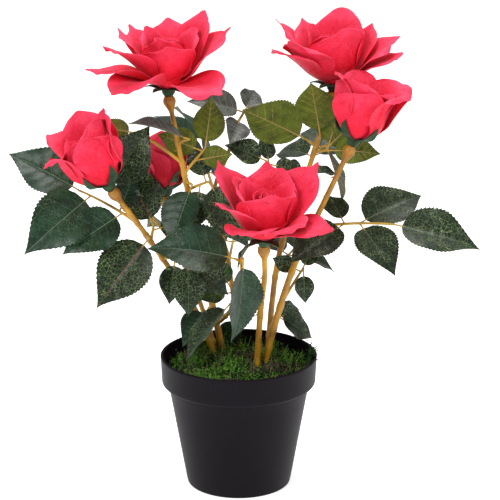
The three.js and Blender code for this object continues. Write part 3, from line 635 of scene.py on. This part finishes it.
def blade_material(name, color, net_color, roughness):
    """Printed leaf cloth: fine broken net veins over a mottled ground, with a soft sheen."""
    material, tree, shader = principled(
        name, color, roughness, Sheen_Weight=0.05, Sheen_Roughness=0.35,
        Sheen_Tint=(0.75, 0.85, 1.0, 1), Specular_IOR_Level=0.24)
    where = places(tree)
    ground = mottle(tree, where, 110, 3, shade(color, 0.55), shade(color, 1.6), 0.3, 0.72)
    drift = speckle(tree, where, 260, 2)
    shift = node(tree, "ShaderNodeVectorMath", [(0, drift, "Color")], operation="SCALE",
                 Scale=0.0035)
    bent = node(tree, "ShaderNodeVectorMath", [(0, where, "Object"), (1, shift, "Vector")],
                operation="ADD")
    cells = node(tree, "ShaderNodeTexVoronoi", [("Vector", bent, "Vector")],
                 feature="DISTANCE_TO_EDGE", Scale=360)
    lines = ramp(tree, cells, "Distance", WHITE, BLACK, 0.008, 0.042)
    patches = mottle(tree, where, 75, 3, BLACK, WHITE, 0.3, 0.66)
    share = node(tree, "ShaderNodeMath", [(0, lines, "Color"), (1, patches, "Color")],
                 operation="MULTIPLY")
    overlay(tree, shader, ground, share, "Value", net_color)
    relief(tree, shader, where, 1500, 2, 0.3, 0.0003)
    return material


def rib_material(name, color):
    return mottled_material(name, color, 0.55, (300, 3, shade(color, 0.75), shade(color, 1.2)))


def stem_material(name, low, high):
    """Ochre moulded plastic with greener and browner stretches and fine scuffs."""
    return mottled_material(name, high, 0.38, (60, 5, low, high, 0.3, 0.62),
                            (900, 4, 0.4, 0.0005), Specular_IOR_Level=0.5)


def pot_material(name, color):
    """Matte charcoal plastic with a fine moulded grain."""
    return mottled_material(name, color, 0.5, (60, 5, shade(color, 0.85), shade(color, 1.25)),
                            (1400, 3, 0.3, 0.0004), Specular_IOR_Level=0.12)


def moss_material(name, color):
    return mottled_material(
        name, color, 0.85, (220, 4, shade(color, 0.45), shade(color, 1.5), 0.32, 0.68),
        (1300, 5, 0.8, 0.0008), Specular_IOR_Level=0.2)


# ---------- pot, filling and moss ----------
def arc(cx, cz, r, start, end, steps=6):
    """Points of a round stretch of a profile, angles in degrees from outward."""
    angles = np.radians(np.linspace(start, end, steps))
    return [(cx + r * cos(a), cz + r * sin(a)) for a in angles]


def pot_wall(z):
    share = z / (POT_H - LIP_H)
    return POT_FOOT_R + (POT_RIM_R - LIP_STEP - POT_FOOT_R) * share


def build_pot():
    step = POT_H - LIP_H
    neck = POT_RIM_R - LIP_STEP
    inner = POT_RIM_R - POT_WALL
    ring = POT_FOOT_R - FOOT_RING_W
    profile = [(AXIS_R, FOOT_RECESS), (ring - 1, FOOT_RECESS), (ring, 0),
               (POT_FOOT_R - FOOT_ROUND - 0.1, 0)]
    profile += arc(POT_FOOT_R - FOOT_ROUND + 0.1, FOOT_ROUND, FOOT_ROUND, -90, 0)
    profile += [(pot_wall(z), z) for z in np.linspace(4, step - 6, 12)]
    profile += [(neck, step - 3.2), (neck + 0.2, step - 1.2)]
    profile += arc(POT_RIM_R - LIP_ROUND - 1, step + LIP_ROUND, LIP_ROUND, -80, -4)
    profile += [(POT_RIM_R - 0.95, step + 5), (POT_RIM_R - 0.2, POT_H - 3)]
    profile += arc(POT_RIM_R - RIM_ROUND, POT_H - RIM_ROUND, RIM_ROUND, 0, 180, 9)
    profile += [(inner - 0.1, POT_H - 2), (inner - 2, step + 3), (neck - POT_WALL, step)]
    profile += [(pot_wall(POT_FLOOR) - POT_WALL, POT_FLOOR), (AXIS_R, POT_FLOOR)]
    net = Net()
    net.grid(revolved(profile, POT_SIDES), wrap=True)
    net.piece("pot_shell", [pot_material("pot_plastic", POT_COLOR)], ["pot"], "pot")


def moss_height(x, y):
    dome = MOSS_DOME * (1 - (hypot(x, y) / MOSS_DOME_R) ** 2)
    lumps = sum(high * wobble((x, y, layer), scale) for high, layer, scale in MOSS_LUMPS)
    return MOSS_TOP + dome + lumps - MOSS_SINK


def build_filling():
    low, high = POT_FLOOR + GAP, POT_H - LIP_H - GAP
    slack = POT_WALL + 2 * GAP
    profile = [(AXIS_R, low), (pot_wall(POT_FLOOR) - slack, low),
               (pot_wall(POT_H - LIP_H) - slack, high), (AXIS_R, high)]
    net = Net()
    net.grid(revolved(profile, FILLING_SIDES), wrap=True)
    foam = principled("foam", (0.09, 0.07, 0.05), 0.95)[0]
    net.piece("filling_foam", [foam], ["filling"], "filling")


def build_moss_bed():
    rows = []
    for i in range(MOSS_RINGS + 1):
        r = MOSS_R * i / MOSS_RINGS + AXIS_R
        spots = [(r * cos(a), r * sin(a)) for a in ring_angles(MOSS_SIDES)]
        rows.append([(x, y, moss_height(x, y) + 0.8 * wobble((x, y, 0), 0.6)) for x, y in spots])
    low = POT_H - LIP_H + 1
    under = [[(x * 0.94, y * 0.94, low) for x, y, _ in rows[-1]], [(0, 0, low)] * MOSS_SIDES]
    net = Net()
    net.grid(np.array(rows + under), wrap=True)
    ground = moss_material("moss_ground", MOSS_GROUND)
    net.piece("moss_ground", [ground], ["moss_bed"], "moss")


def build_sprigs():
    nets = {name: Net() for name in MOSS_COLORS}
    random = Random(11)
    for _ in range(MOSS_SPRIGS):
        r = MOSS_R * sqrt(random.random()) * 0.985
        a = random.uniform(0, 2 * pi)
        x, y = r * cos(a), r * sin(a)
        patch = wobble((x, y, 40), 0.05) + random.uniform(-0.3, 0.3)
        if wobble((x, y, 90), 0.11) < MOSS_HOLLOW:
            continue
        bright = patch > MOSS_BRIGHT
        name = "moss_bright" if bright else "moss_deep" if patch > MOSS_DEEP else "moss_brown"
        length = min(random.uniform(*SPRIG_LENGTHS), 2.5 + MOSS_R - r) * (1.15 if bright else 0.85)
        lean = np.array([random.gauss(0, SPRIG_LEAN), random.gauss(0, SPRIG_LEAN), 0.7])
        sprig(nets[name], (x, y, moss_height(x, y) - SPRIG_ROOT), unit(lean), length, random,
              random.uniform(*SPRIG_WIDTHS), MOSS_R + 0.3)
    # A loose tuft hangs over the rim at the right.
    for _ in range(RIM_SPRIGS):
        start = (random.uniform(52, 56.5), random.uniform(-11, 6), random.uniform(99, 103))
        lean = (random.uniform(0.2, 0.7), random.uniform(-0.25, 0.25), 1)
        sprig(nets["moss_deep"], start, unit(lean), random.uniform(7, 13), random, 0.85,
              RIM_SPRIG_R)
    for name, net in nets.items():
        net.piece(name, [moss_material(name, MOSS_COLORS[name])], (), "moss", smooth=False)


def held(points, limit):
    """Points drawn back to a radius about Z."""
    points = np.array(points, float)
    radii = np.hypot(points[..., 0], points[..., 1])
    points[..., :2] *= np.minimum(1, limit / np.maximum(radii, 0.01))[..., None]
    return points


def sprig(net, start, along, length, random, width, limit):
    """A curling thread of moss with short pointed leaflets, kept within a radius."""
    points = [np.array(start, float)]
    heading = along.copy()
    curl = np.array([random.gauss(0, 0.5) for _ in range(3)])
    for _ in range(SPRIG_STEPS):
        heading = unit(heading + curl * 0.45)
        points.append(points[-1] + heading * length / SPRIG_STEPS)
    side = unit(np.cross(heading, [0.3, 0.2, 1]))
    rows = []
    for i, p in enumerate(points):
        half = side * width * (1 - i / (SPRIG_STEPS + 1))
        rows.append([p - half, p + half])
    net.grid(held(rows, limit))
    for p in points[1:]:
        for hand in (-1, 1):
            out = unit(side * hand + heading * random.uniform(0.2, 1.0)
                       + np.array([random.gauss(0, 0.4) for _ in range(3)]))
            flat = unit(np.cross(out, heading)) * random.uniform(0.3, 0.6)
            reach = out * random.uniform(0.8, 2.0)
            leaflet = [p - flat * 0.4, p + reach * 0.5 + flat, p + reach,
                       p + reach * 0.5 - flat]
            net.add(held(leaflet, limit), [(0, 1, 2, 3)])


# ---------- stems ----------
paths = {name: Path(row.path) for name, row in STEMS.items()}


def stem_radius(row, path, share):
    """Taper with the hip swelling under a bloom, rounded into a bulb with a short neck."""
    foot, tip = row.r
    bare = foot + (tip - foot) * share
    if not row.hip:
        return bare
    swell_len = HIP_LEN + HIP_NECK
    up = max(0, (share * path.length - (path.length - swell_len)) / swell_len)
    bulb = sin(pi * min(1, up ** 1.5) * 0.86) ** 1.2 if up > 0 else 0
    return bare + (HIP_R + HIP_SWELL - tip) * bulb


def build_stems():
    wood = stem_material("stem_plastic", (0.24, 0.10, 0.008), (0.54, 0.28, 0.013))
    hip_wood = stem_material("hip_plastic", (0.24, 0.095, 0.010), (0.52, 0.24, 0.016))
    for name, row in STEMS.items():
        path = paths[name]
        random = Random(name)
        shares = np.linspace(0, 1, int(path.length / STEM_STEP) + 1)
        joints = [spray.at for spray in SPRAYS.values() if spray.on == name]
        joints += BARE_SLEEVES

        def sleeve(share):
            nearest = min(abs(share - j) for j in joints) * path.length
            return SLEEVE_RISE * exp(-(nearest / SLEEVE_HALF) ** 4)

        def ridges(i, angle):
            x = (cos(angle) * 1.6, sin(angle) * 1.6, shares[i] * path.length * 0.12)
            return 1 + 0.07 * wobble(x, 1.0) + 0.02 * sin(5 * angle)

        radii = [stem_radius(row, path, s) + sleeve(s) for s in shares]
        centres = [path.at(s) for s in shares]
        net = Net()
        body = len(shares) if not row.hip else int(len(shares) * (1 - HIP_LEN / path.length))
        tube(net, centres[:body], radii[:body], STEM_SIDES, 0, ridges)
        if body < len(shares):
            tube(net, centres[body - 1:], radii[body - 1:], STEM_SIDES, 1,
                 lambda i, angle: ridges(i + body - 1, angle))
        for _ in range(3 if row.hip else 1):
            share = random.uniform(*THORN_SPAN)
            along = path.tangent(share)
            out = unit(turned(np.cross(along, [0, 0, 1]), along, random.uniform(0, 360)))
            start = path.at(share) + out * row.r[1] * 0.7
            thorn = out * 3.4 - along * 1.4
            tube(net, [start, start + thorn * 0.5, start + thorn], THORN_RADII, 6, 0)
        net.piece(f"{name}_bark", [wood, hip_wood], [name], "stem")


# ---------- blooms ----------
def bloom_basis(name):
    """Matrix from the bloom's own frame, with +Z along its axis, to the part's."""
    path = paths[f"{name}_stem"]
    z = pointing(BLOOMS[name].toward, 90 - BLOOMS[name].lean)
    x = unit(np.array([1, 0, 0]) - z * z[0])
    seat = path.at(1) + path.tangent(1) * GAP
    return np.column_stack([x, np.cross(z, x), z]), seat


def placed(points, basis):
    return np.asarray(points) @ basis[0].T + basis[1]


def sheet(net, middle, thick, slots=(0, 0)):
    """Two skins, either side of a grid of points, closed round the edge."""
    du = np.gradient(middle, axis=0)
    dv = np.gradient(middle, axis=1)
    normal = np.cross(dv, du)
    normal /= np.maximum(np.linalg.norm(normal, axis=2, keepdims=True), 1e-9)
    top = middle + normal * thick / 2
    low = middle - normal * thick / 2
    net.grid(top, slots[0])
    net.grid(low, slots[1], flip=True)
    rims = [np.concatenate([skin[0], skin[1:, -1], skin[-1, -2::-1], skin[-2:0:-1, 0]])
            for skin in (low, top)]
    edge = max(slots[1]) if isinstance(slots[1], list) else slots[1]
    net.grid(np.array(rims), edge, wrap=True)


def petal_angle(u, open_, tip, flare):
    """Degrees from the bloom's axis at a share of the petal's length."""
    belly = max(0, PETAL_BELLY - open_) * max(0, 1 - u / BELLY_END)
    return open_ + belly + (tip - open_) * max(0, (u - flare) / (1 - flare))


def petal_shape(u):
    """Half the width at a share of the length, against half the full width."""
    if u < PETAL_WIDEST:
        return PETAL_NECK + (1 - PETAL_NECK) * sin(u / PETAL_WIDEST * pi / 2)
    return 1 - PETAL_NARROWS * ((u - PETAL_WIDEST) / (1 - PETAL_WIDEST)) ** 2


def petal_points(heading, length, width, open_, tip, root, flare, random, curl=1.0):
    """The source's cupped petal, finer, with a rolled and slightly wavy edge."""
    rows, cols = PETAL_ROWS, PETAL_COLS
    r, z = PETAL_ROOT_R, root
    grid = np.zeros((rows + 1, cols + 1, 3))
    wave = wave_start(random)
    point = random.uniform(0.0, 0.04) + 0.07 * min(1, max(0, open_ - 8) / 16)
    lop = random.uniform(-0.06, 0.06)
    for i in range(rows + 1):
        u = i / rows
        a = radians(petal_angle(u, open_, tip, flare))
        if i:
            before = radians(petal_angle(u - 0.5 / rows, open_, tip, flare))
            r += length / rows * sin(before)
            z += length / rows * cos(before)
        half = width / 2 * petal_shape(u)
        bend = u ** 3 * tip / 120
        cup = PETAL_CUP / (7 + r * 0.55) * (1 - bend) - TIP_CURL * bend
        top = max(0, (u - CURL_FROM) / (1 - CURL_FROM))
        for j in range(cols + 1):
            v = j / cols * 2 - 1
            w = v * half
            short = length * (PETAL_ROUNDS * (u * v) ** 2 + lop * v * u * u
                              - point * exp(-(v / 0.25) ** 2) * top ** 2)
            inward = min(cup * w * w, half * 0.9) + w * PETAL_TWIST
            inward -= curl * PETAL_CURL * max(top ** 2 * (0.6 + 0.4 * abs(v)), abs(v) ** 6 * u)
            inward += PETAL_WAVE * u * u * sin(v * 5.5 + wave) * (0.3 + abs(v))
            inward += PETAL_RIPPLE * u * sin(v * 12 + wave * 2)
            narrow = 1 - 0.1 * abs(v) * (1 - u)
            grid[i, j] = (r - short * sin(a) - inward * cos(a), w * narrow,
                          z - short * cos(a) + inward * sin(a))
    return spun(grid, radians(heading))


def wrap_points(heading, span, radius, spiral, low, high, flare, random):
    """A petal wound round the core, its free edge flaring outward at the top."""
    rows, cols = PETAL_ROWS, PETAL_COLS
    grid = np.zeros((rows + 1, cols + 1, 3))
    wave = wave_start(random)
    for i in range(rows + 1):
        u = i / rows
        for j in range(cols + 1):
            v = j / cols * 2 - 1
            a = radians(heading + v * span / 2)
            belly = 1 + WRAP_BELLY * sin(pi * min(1, u * 1.05)) - WRAP_NARROWS * u
            r = (radius + spiral * v) * belly + flare * u ** 5
            r += WRAP_WAVE * u * sin(v * 6 + wave)
            top = high - WRAP_ROUND * abs(v) ** 2.4 + WRAP_RIM_WAVE * sin(v * 4 + wave)
            grid[i, j] = (r * cos(a), r * sin(a), low + (top - low) * u)
    return grid


def painted_light_bands():
    """The red of each face of a petal, painted shade at the foot and a painted highlight towards
    the rim, with uneven borders.
    """
    light_bands = []
    for i in range(PETAL_ROWS):
        for j in range(PETAL_COLS):
            v = (j + 0.5) / PETAL_COLS * 2 - 1
            uneven = ((i * 7 + j * 13) % 5 - 2) * BAND_JITTER
            share = (i + 0.5) / PETAL_ROWS + BAND_RISE * v * v + uneven
            light_bands.append(sum(share > start for start in BAND_STARTS))
    return light_bands


def build_bloom(name, materials):
    """Makes a bloom and returns the lower rows of its outer petals, in the bloom's own frame."""
    row = BLOOMS[name]
    basis = bloom_basis(name)
    random = Random(name)
    lift = np.array([0, 0, BLOOM_SEAT])
    # Painted shade at the foot of each petal and a painted highlight towards its rim, face by
    # face.
    light_bands = painted_light_bands()
    net = Net()

    def grown(points):
        return points * row.size + lift

    def add(points):
        sheet(net, placed(grown(points), basis), PETAL_T, (light_bands, light_bands))

    drop = 0 if row.open else BUD_CORE_DROP
    for heading, span, radius, spiral, low, high, flare in CORE:
        add(wrap_points(heading, span, radius, spiral, low, high - drop, flare, random))
    for petal in ROSE_HEART if row.open else BUD_HEART:
        add(petal_points(*petal, row.flare, random, HEART_CURL))
    outside = []
    for petal in row.petals:
        points = petal_points(*petal, row.flare, random)
        add(points)
        outside.append(grown(points[:BELLY_ROWS]).reshape(-1, 3))
    base = revolved(ROSE_BASE if row.open else BUD_BASE, BASE_SIDES)
    # The closed base takes the deepest red, the painted shade at the foot.
    net.grid(placed(grown(base), basis), wrap=True)
    net.piece(f"{name}_petals", materials, [name], "petal")
    return np.concatenate(outside)


def sepal_line(row, turn, petals):
    """A sepal's middle line, from the cup out: on a bud it lies against the petals."""
    foot = (CALYX_R * 0.5, 0, CALYX_H * 0.7)
    if row.open:
        return Path([foot, (CALYX_R * 1.6, 0, CALYX_H - 0.5), (13.5, 0, CALYX_H),
                     (19, 0, CALYX_H - 1.5)])
    points = [foot, (CALYX_R * 1.5, 0, CALYX_H + 0.2)]
    headings = np.arctan2(petals[:, 1], petals[:, 0])
    radii = np.hypot(petals[:, 0], petals[:, 1])
    off = np.abs((headings - turn + pi) % (2 * pi) - pi)
    for rise in SEPAL_RISES:
        z = CALYX_H + rise
        near = radii[(off < 0.3) & (np.abs(petals[:, 2] - z) < 1.6)]
        r = near.max() if len(near) else points[-1][0]
        points.append((r + SEPAL_OFF, 0, z))
    return Path(points)


def build_calyx(name, material, petals):
    row = BLOOMS[name]
    basis = bloom_basis(name)
    profile = [(AXIS_R, 0), (CALYX_R * 0.7, 0), (CALYX_R * 0.95, 2), (CALYX_R * 1.05, 4.2),
               (CALYX_R * 1.35, CALYX_H), (AXIS_R, CALYX_H)]
    cup = revolved(profile, CALYX_SIDES, lambda angle: 1 + 0.05 * cos(SEPALS * angle))
    net = Net()
    net.grid(placed(cup, basis), wrap=True)
    for k in range(SEPALS):
        turn = radians(k * 360 / SEPALS + SEPAL_TURN)
        curve = sepal_line(row, turn, petals)
        grid = np.zeros((SEPAL_ROWS + 1, SEPAL_COLS + 1, 3))
        for i in range(SEPAL_ROWS + 1):
            t = i / SEPAL_ROWS
            half = SEPAL_W / 2 * sin(pi * min(1, 0.25 + t * 0.75)) + 0.05
            for j in range(SEPAL_COLS + 1):
                v = j / SEPAL_COLS * 2 - 1
                fringe = 1 + 0.12 * (i % 2) * (abs(v) > 0.9)
                hang = SEPAL_HANG * v ** 2 * (1 - t)
                grid[i, j] = curve.raw(t) + np.array([0, v * half * fringe, -hang])
        sheet(net, placed(spun(grid, turn), basis), SEPAL_T)
    net.piece(f"{name}_sepals", [material], [f"{name}_calyx"], "calyx")


def build_blooms():
    # One cloth for each band of red, from the painted shade of the foot to the painted highlight
    # of the rim.
    red = [petal_material(f"petal_cloth_{k}", color) for k, color in enumerate(REDS_SHADE_TO_HIGHLIGHT)]
    # Darker copies of the petal cloths for the back bud: painted shade.
    back_bud_shade_reds = [petal_material(f"petal_painted_shade_{k}", shade(color, BACK_BUD_SHADE))
             for k, color in enumerate(REDS_SHADE_TO_HIGHLIGHT)]
    green = blade_material("calyx_cloth", (0.022, 0.055, 0.022), (0.05, 0.10, 0.04), 0.6)
    for name in BLOOMS:
        petals = build_bloom(name, back_bud_shade_reds if name == "back_bud" else red)
        build_calyx(name, green, petals)


# ---------- leaves ----------
def leaf_shape(t):
    """Half width against the widest place: broad below the middle, drawn to a point."""
    return sin(pi * t ** 0.72) ** (0.7 + 0.6 * t)


def leaf_stations():
    """Two places along the leaf for each tooth: its notch and its point."""
    places_along = []
    for k in range(LEAF_TEETH):
        places_along += [(k / LEAF_TEETH, 0), ((k + TOOTH_SHARE) / LEAF_TEETH, 1)]
    return places_along + [(1, 0)]


class Leaf:
    """One blade: its base, directions, length and own small variations."""

    def __init__(self, base, along, face, length, droop, random):
        self.base, self.along, self.face = base, along, face
        self.side = unit(np.cross(along, face))
        self.length, self.droop = length, droop
        self.half = length * LEAF_ASPECT / 2
        self.waves = [wave_start(random) for _ in range(2)]
        self.tip_curl = random.uniform(0.02, 0.07)
        self.twist = random.uniform(-0.1, 0.1)
        self.wavy = random.uniform(0.4, 1.1)

    def point(self, t, s, tooth=0):
        """The blade's middle at shares along it and across it, -1 to 1."""
        bend = radians(self.droop) * t
        reach = PETIOLE + self.length * t * cos(bend)
        drop = self.length * (t * sin(bend) + self.tip_curl * t ** 5)
        half = self.half * leaf_shape(t) * (1 + TOOTH * tooth) if 0 < t < 1 else 0
        w = s * half
        out = abs(s)
        rise = LEAF_FOLD * abs(w) * (0.75 + 0.25 * out) + 0.05 * half * sin(pi * out)
        phase = (t - VEIN_SLANT * out * self.half / self.length) * SIDE_VEINS
        quilt = LEAF_QUILT * cos(2 * pi * phase) * (1 - s ** 4) * min(1, out * 4)
        quilt *= sin(pi * min(1, max(0, t))) ** 0.5
        hand = 0 if s > 0 else 1
        wave = self.wavy * out ** 3 * sin(t * 13 + self.waves[hand]) * sin(pi * t)
        height = rise - quilt + wave + self.twist * w * t
        return (self.base + self.along * reach - self.face * drop + self.side * w
                + self.face * height)

    def blade(self, net):
        cols = [-c for c in LEAF_COLS[:0:-1]] + list(LEAF_COLS)
        rows = leaf_stations()
        middle = np.array([[self.point(t, s, tooth * abs(s) ** 6) for s in cols]
                           for t, tooth in rows])
        up = self.face * LEAF_T / 2
        top, low = middle + up, middle - up
        net.grid(top, 0, flip=True)
        net.grid(low, 1)
        for edge, flip in ((0, False), (-1, True)):
            strip = np.stack([low[:, edge], top[:, edge]], axis=1)
            net.grid(strip, 1, flip=flip)

    def rib(self, net, line, widths, slot, sign):
        """A raised line on the blade: places along and across, with its widths."""
        up = self.face * sign
        rows = []
        points = [self.point(t, s) + up * LEAF_T / 2 for t, s in line]
        for i, p in enumerate(points):
            along = unit(points[min(i + 1, len(points) - 1)] - points[max(i - 1, 0)])
            out = unit(np.cross(along, up)) * widths[i] / 2
            rows.append([p - out - up * VEIN_SINK, p + up * VEIN_RISE * widths[i] / VEIN_W,
                         p + out - up * VEIN_SINK])
        net.grid(np.array(rows), slot)

    def veins(self, net):
        """The midrib and the side veins, above and below."""
        ts = np.linspace(0, 0.985, RIB_STEPS)
        rib_widths = [RIB_W * (1 - 0.8 * t) for t in ts]
        vein_widths = [VEIN_W * (1.0 - 0.7 * i / VEIN_STEPS) for i in range(VEIN_STEPS + 1)]
        across = [VEIN_REACH * i / VEIN_STEPS for i in range(VEIN_STEPS + 1)]
        for slot, side_slot, sign in ((2, 4, 1), (3, 3, -1)):
            self.rib(net, [(t, 0) for t in ts], rib_widths, slot, sign)
            for k in range(SIDE_VEINS):
                start = (k + 0.5) / SIDE_VEINS * 0.9 + 0.015
                slant = VEIN_SLANT * self.half / self.length * leaf_shape(min(0.97, start))
                for hand in (-1, 1):
                    line = [(min(0.975, start + slant * s), hand * s) for s in across]
                    self.rib(net, line, vein_widths, side_slot, sign)


def spray_twig(row):
    """Points of the twig's arch from its stem to its end leaf, as shares from 0 to 1."""
    start = paths[row.on].at(row.at)
    end = start + np.array(row.reach, float)
    mid = (start + end) / 2 + np.array([0, 0, TWIG_ARCH * np.linalg.norm(end - start)])
    return lambda t: start * (1 - t) ** 2 + mid * 2 * t * (1 - t) + end * t * t


def fitted(base, along, face, length, droop, corners):
    """The try of a leaf that the CAD node shows, or None where the source left it out."""
    side = unit(np.cross(along, face))
    bend = radians(droop)
    best = None
    for shrink in SHRINKS:
        for turn, lift in TRIES:
            way = turned(turned(along, side, lift), face, turn)
            up = turned(turned(face, side, lift), face, turn)
            grown = length * shrink
            tip = base + way * (PETIOLE + grown * cos(bend)) - up * grown * sin(bend)
            miss = np.linalg.norm(corners - tip, axis=1).min()
            if best is None or miss < best[0]:
                best = (miss, way, up, grown)
    return best[1:] if best[0] < LEAF_MISS else None


def build_leaves():
    wood = stem_material("twig_plastic", (0.26, 0.15, 0.012), (0.56, 0.34, 0.030))
    twigs = Net()
    blades = {tone: Net() for tone in TONES}
    owners = {tone: [] for tone in TONES}
    for name, row in SPRAYS.items():
        random = Random(name)
        corners = np.array([v.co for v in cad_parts[name].data.vertices]) / MM
        curve = spray_twig(row)
        aim = unit(row.aim or row.reach)
        face = pointing(*row.face)
        face = unit(face - aim * face.dot(aim))
        shares = np.linspace(0, 1, TWIG_STEPS + 1)
        radii = [TWIG_R + (TWIG_TIP_R - TWIG_R) * t + 0.25 * exp(-(t * 9) ** 2)
                 for t in shares]
        tube(twigs, [curve(t) for t in shares], radii, TWIG_SIDES)
        owners[row.tone].append(name)
        for turn, back, scale in [[0, 0, 1], *row.side]:
            base = curve(1 - back)
            fit = fitted(base, turned(aim, face, turn), face, row.size * scale, row.droop, corners)
            if fit is None:
                continue
            way, up, length = fit
            leaf = Leaf(base, way, up, length, row.droop, random)
            leaf.blade(blades[row.tone])
            leaf.veins(blades[row.tone])
            stalk = [base - way * 0.5, base + way * PETIOLE * 0.5, base + way * (PETIOLE + 2)]
            tube(twigs, stalk, STALK_RADII, TWIG_SIDES)
    for tone, (top, under, net_color, rib_top, rib_under) in TONES.items():
        materials = [
            blade_material(f"leaf_{tone}_top", top, net_color, 0.36),
            blade_material(f"leaf_{tone}_under", under, UNDER_NET, 0.6),
            rib_material(f"rib_{tone}_top", rib_top),
            rib_material(f"rib_{tone}_under", rib_under),
            rib_material(f"vein_{tone}_top", shade(top, SIDE_VEIN_SHADE)),
        ]
        blades[tone].piece(f"leaves_{tone}", materials, owners[tone], "leaf")
    twigs.piece("twigs", [wood], (), "stem")


# ---------- stage ----------
def build_stage():
    mesh = bpy.data.meshes.new("floor")
    corners = [(-1, -1), (1, -1), (1, 1), (-1, 1)]
    mesh.from_pydata([(x * FLOOR_HALF, y * FLOOR_HALF, 0) for x, y in corners],
                     [], [(0, 1, 2, 3)])
    floor = scene_object("floor", mesh)
    pale = principled("floor_pale", (0.9, 0.9, 0.9), 0.9, Emission_Color=(1, 1, 1, 1),
                      Emission_Strength=0.6, Specular_IOR_Level=0.0)[0]
    mesh.materials.append(pale)

    world = bpy.data.worlds.new("studio")
    bpy.context.scene.world = world
    world.use_nodes = True
    tree = world.node_tree
    seen = tree.nodes["Background"]
    seen.inputs["Color"].default_value = (*WHITE, 1)
    light = node(tree, "ShaderNodeBackground", Color=(*WHITE, 1), Strength=0.4)
    rays = node(tree, "ShaderNodeLightPath")
    mixed = node(tree, "ShaderNodeMixShader",
                 [(0, rays, "Is Camera Ray"), (1, light, "Background"), (2, seen, "Background")])
    tree.links.new(mixed.outputs["Shader"], tree.nodes["World Output"].inputs["Surface"])

    lamps = {
        "key": ((-0.8, -1.4, 1.5), 0.6, 22),
        "fill": ((1.5, -1.0, 0.9), 0.9, 8),
        "top": ((0.15, 0.45, 1.7), 0.8, 20),
    }
    for name, (where, size, power) in lamps.items():
        light = bpy.data.lights.new(name, "AREA")
        light.size = size
        light.energy = power
        lamp = scene_object(name, light)
        lamp.location = where
        lamp.rotation_euler = (Vector((0, 0, 0.2)) - Vector(where)).to_track_quat(
            "-Z", "Y").to_euler()

    camera = scene_object("camera", bpy.data.cameras.new("camera"))
    camera.data.sensor_width = 36
    camera.data.lens = FOCAL_LENGTH
    camera.location = CAMERA_PLACE
    camera.rotation_euler = (radians(90 - CAMERA_DROP), 0, 0)
    bpy.context.scene.camera = camera
    bpy.context.scene.view_settings.view_transform = "Standard"


build_stage()
build_pot()
build_filling()
build_moss_bed()
build_sprigs()
build_stems()
build_blooms()
build_leaves()
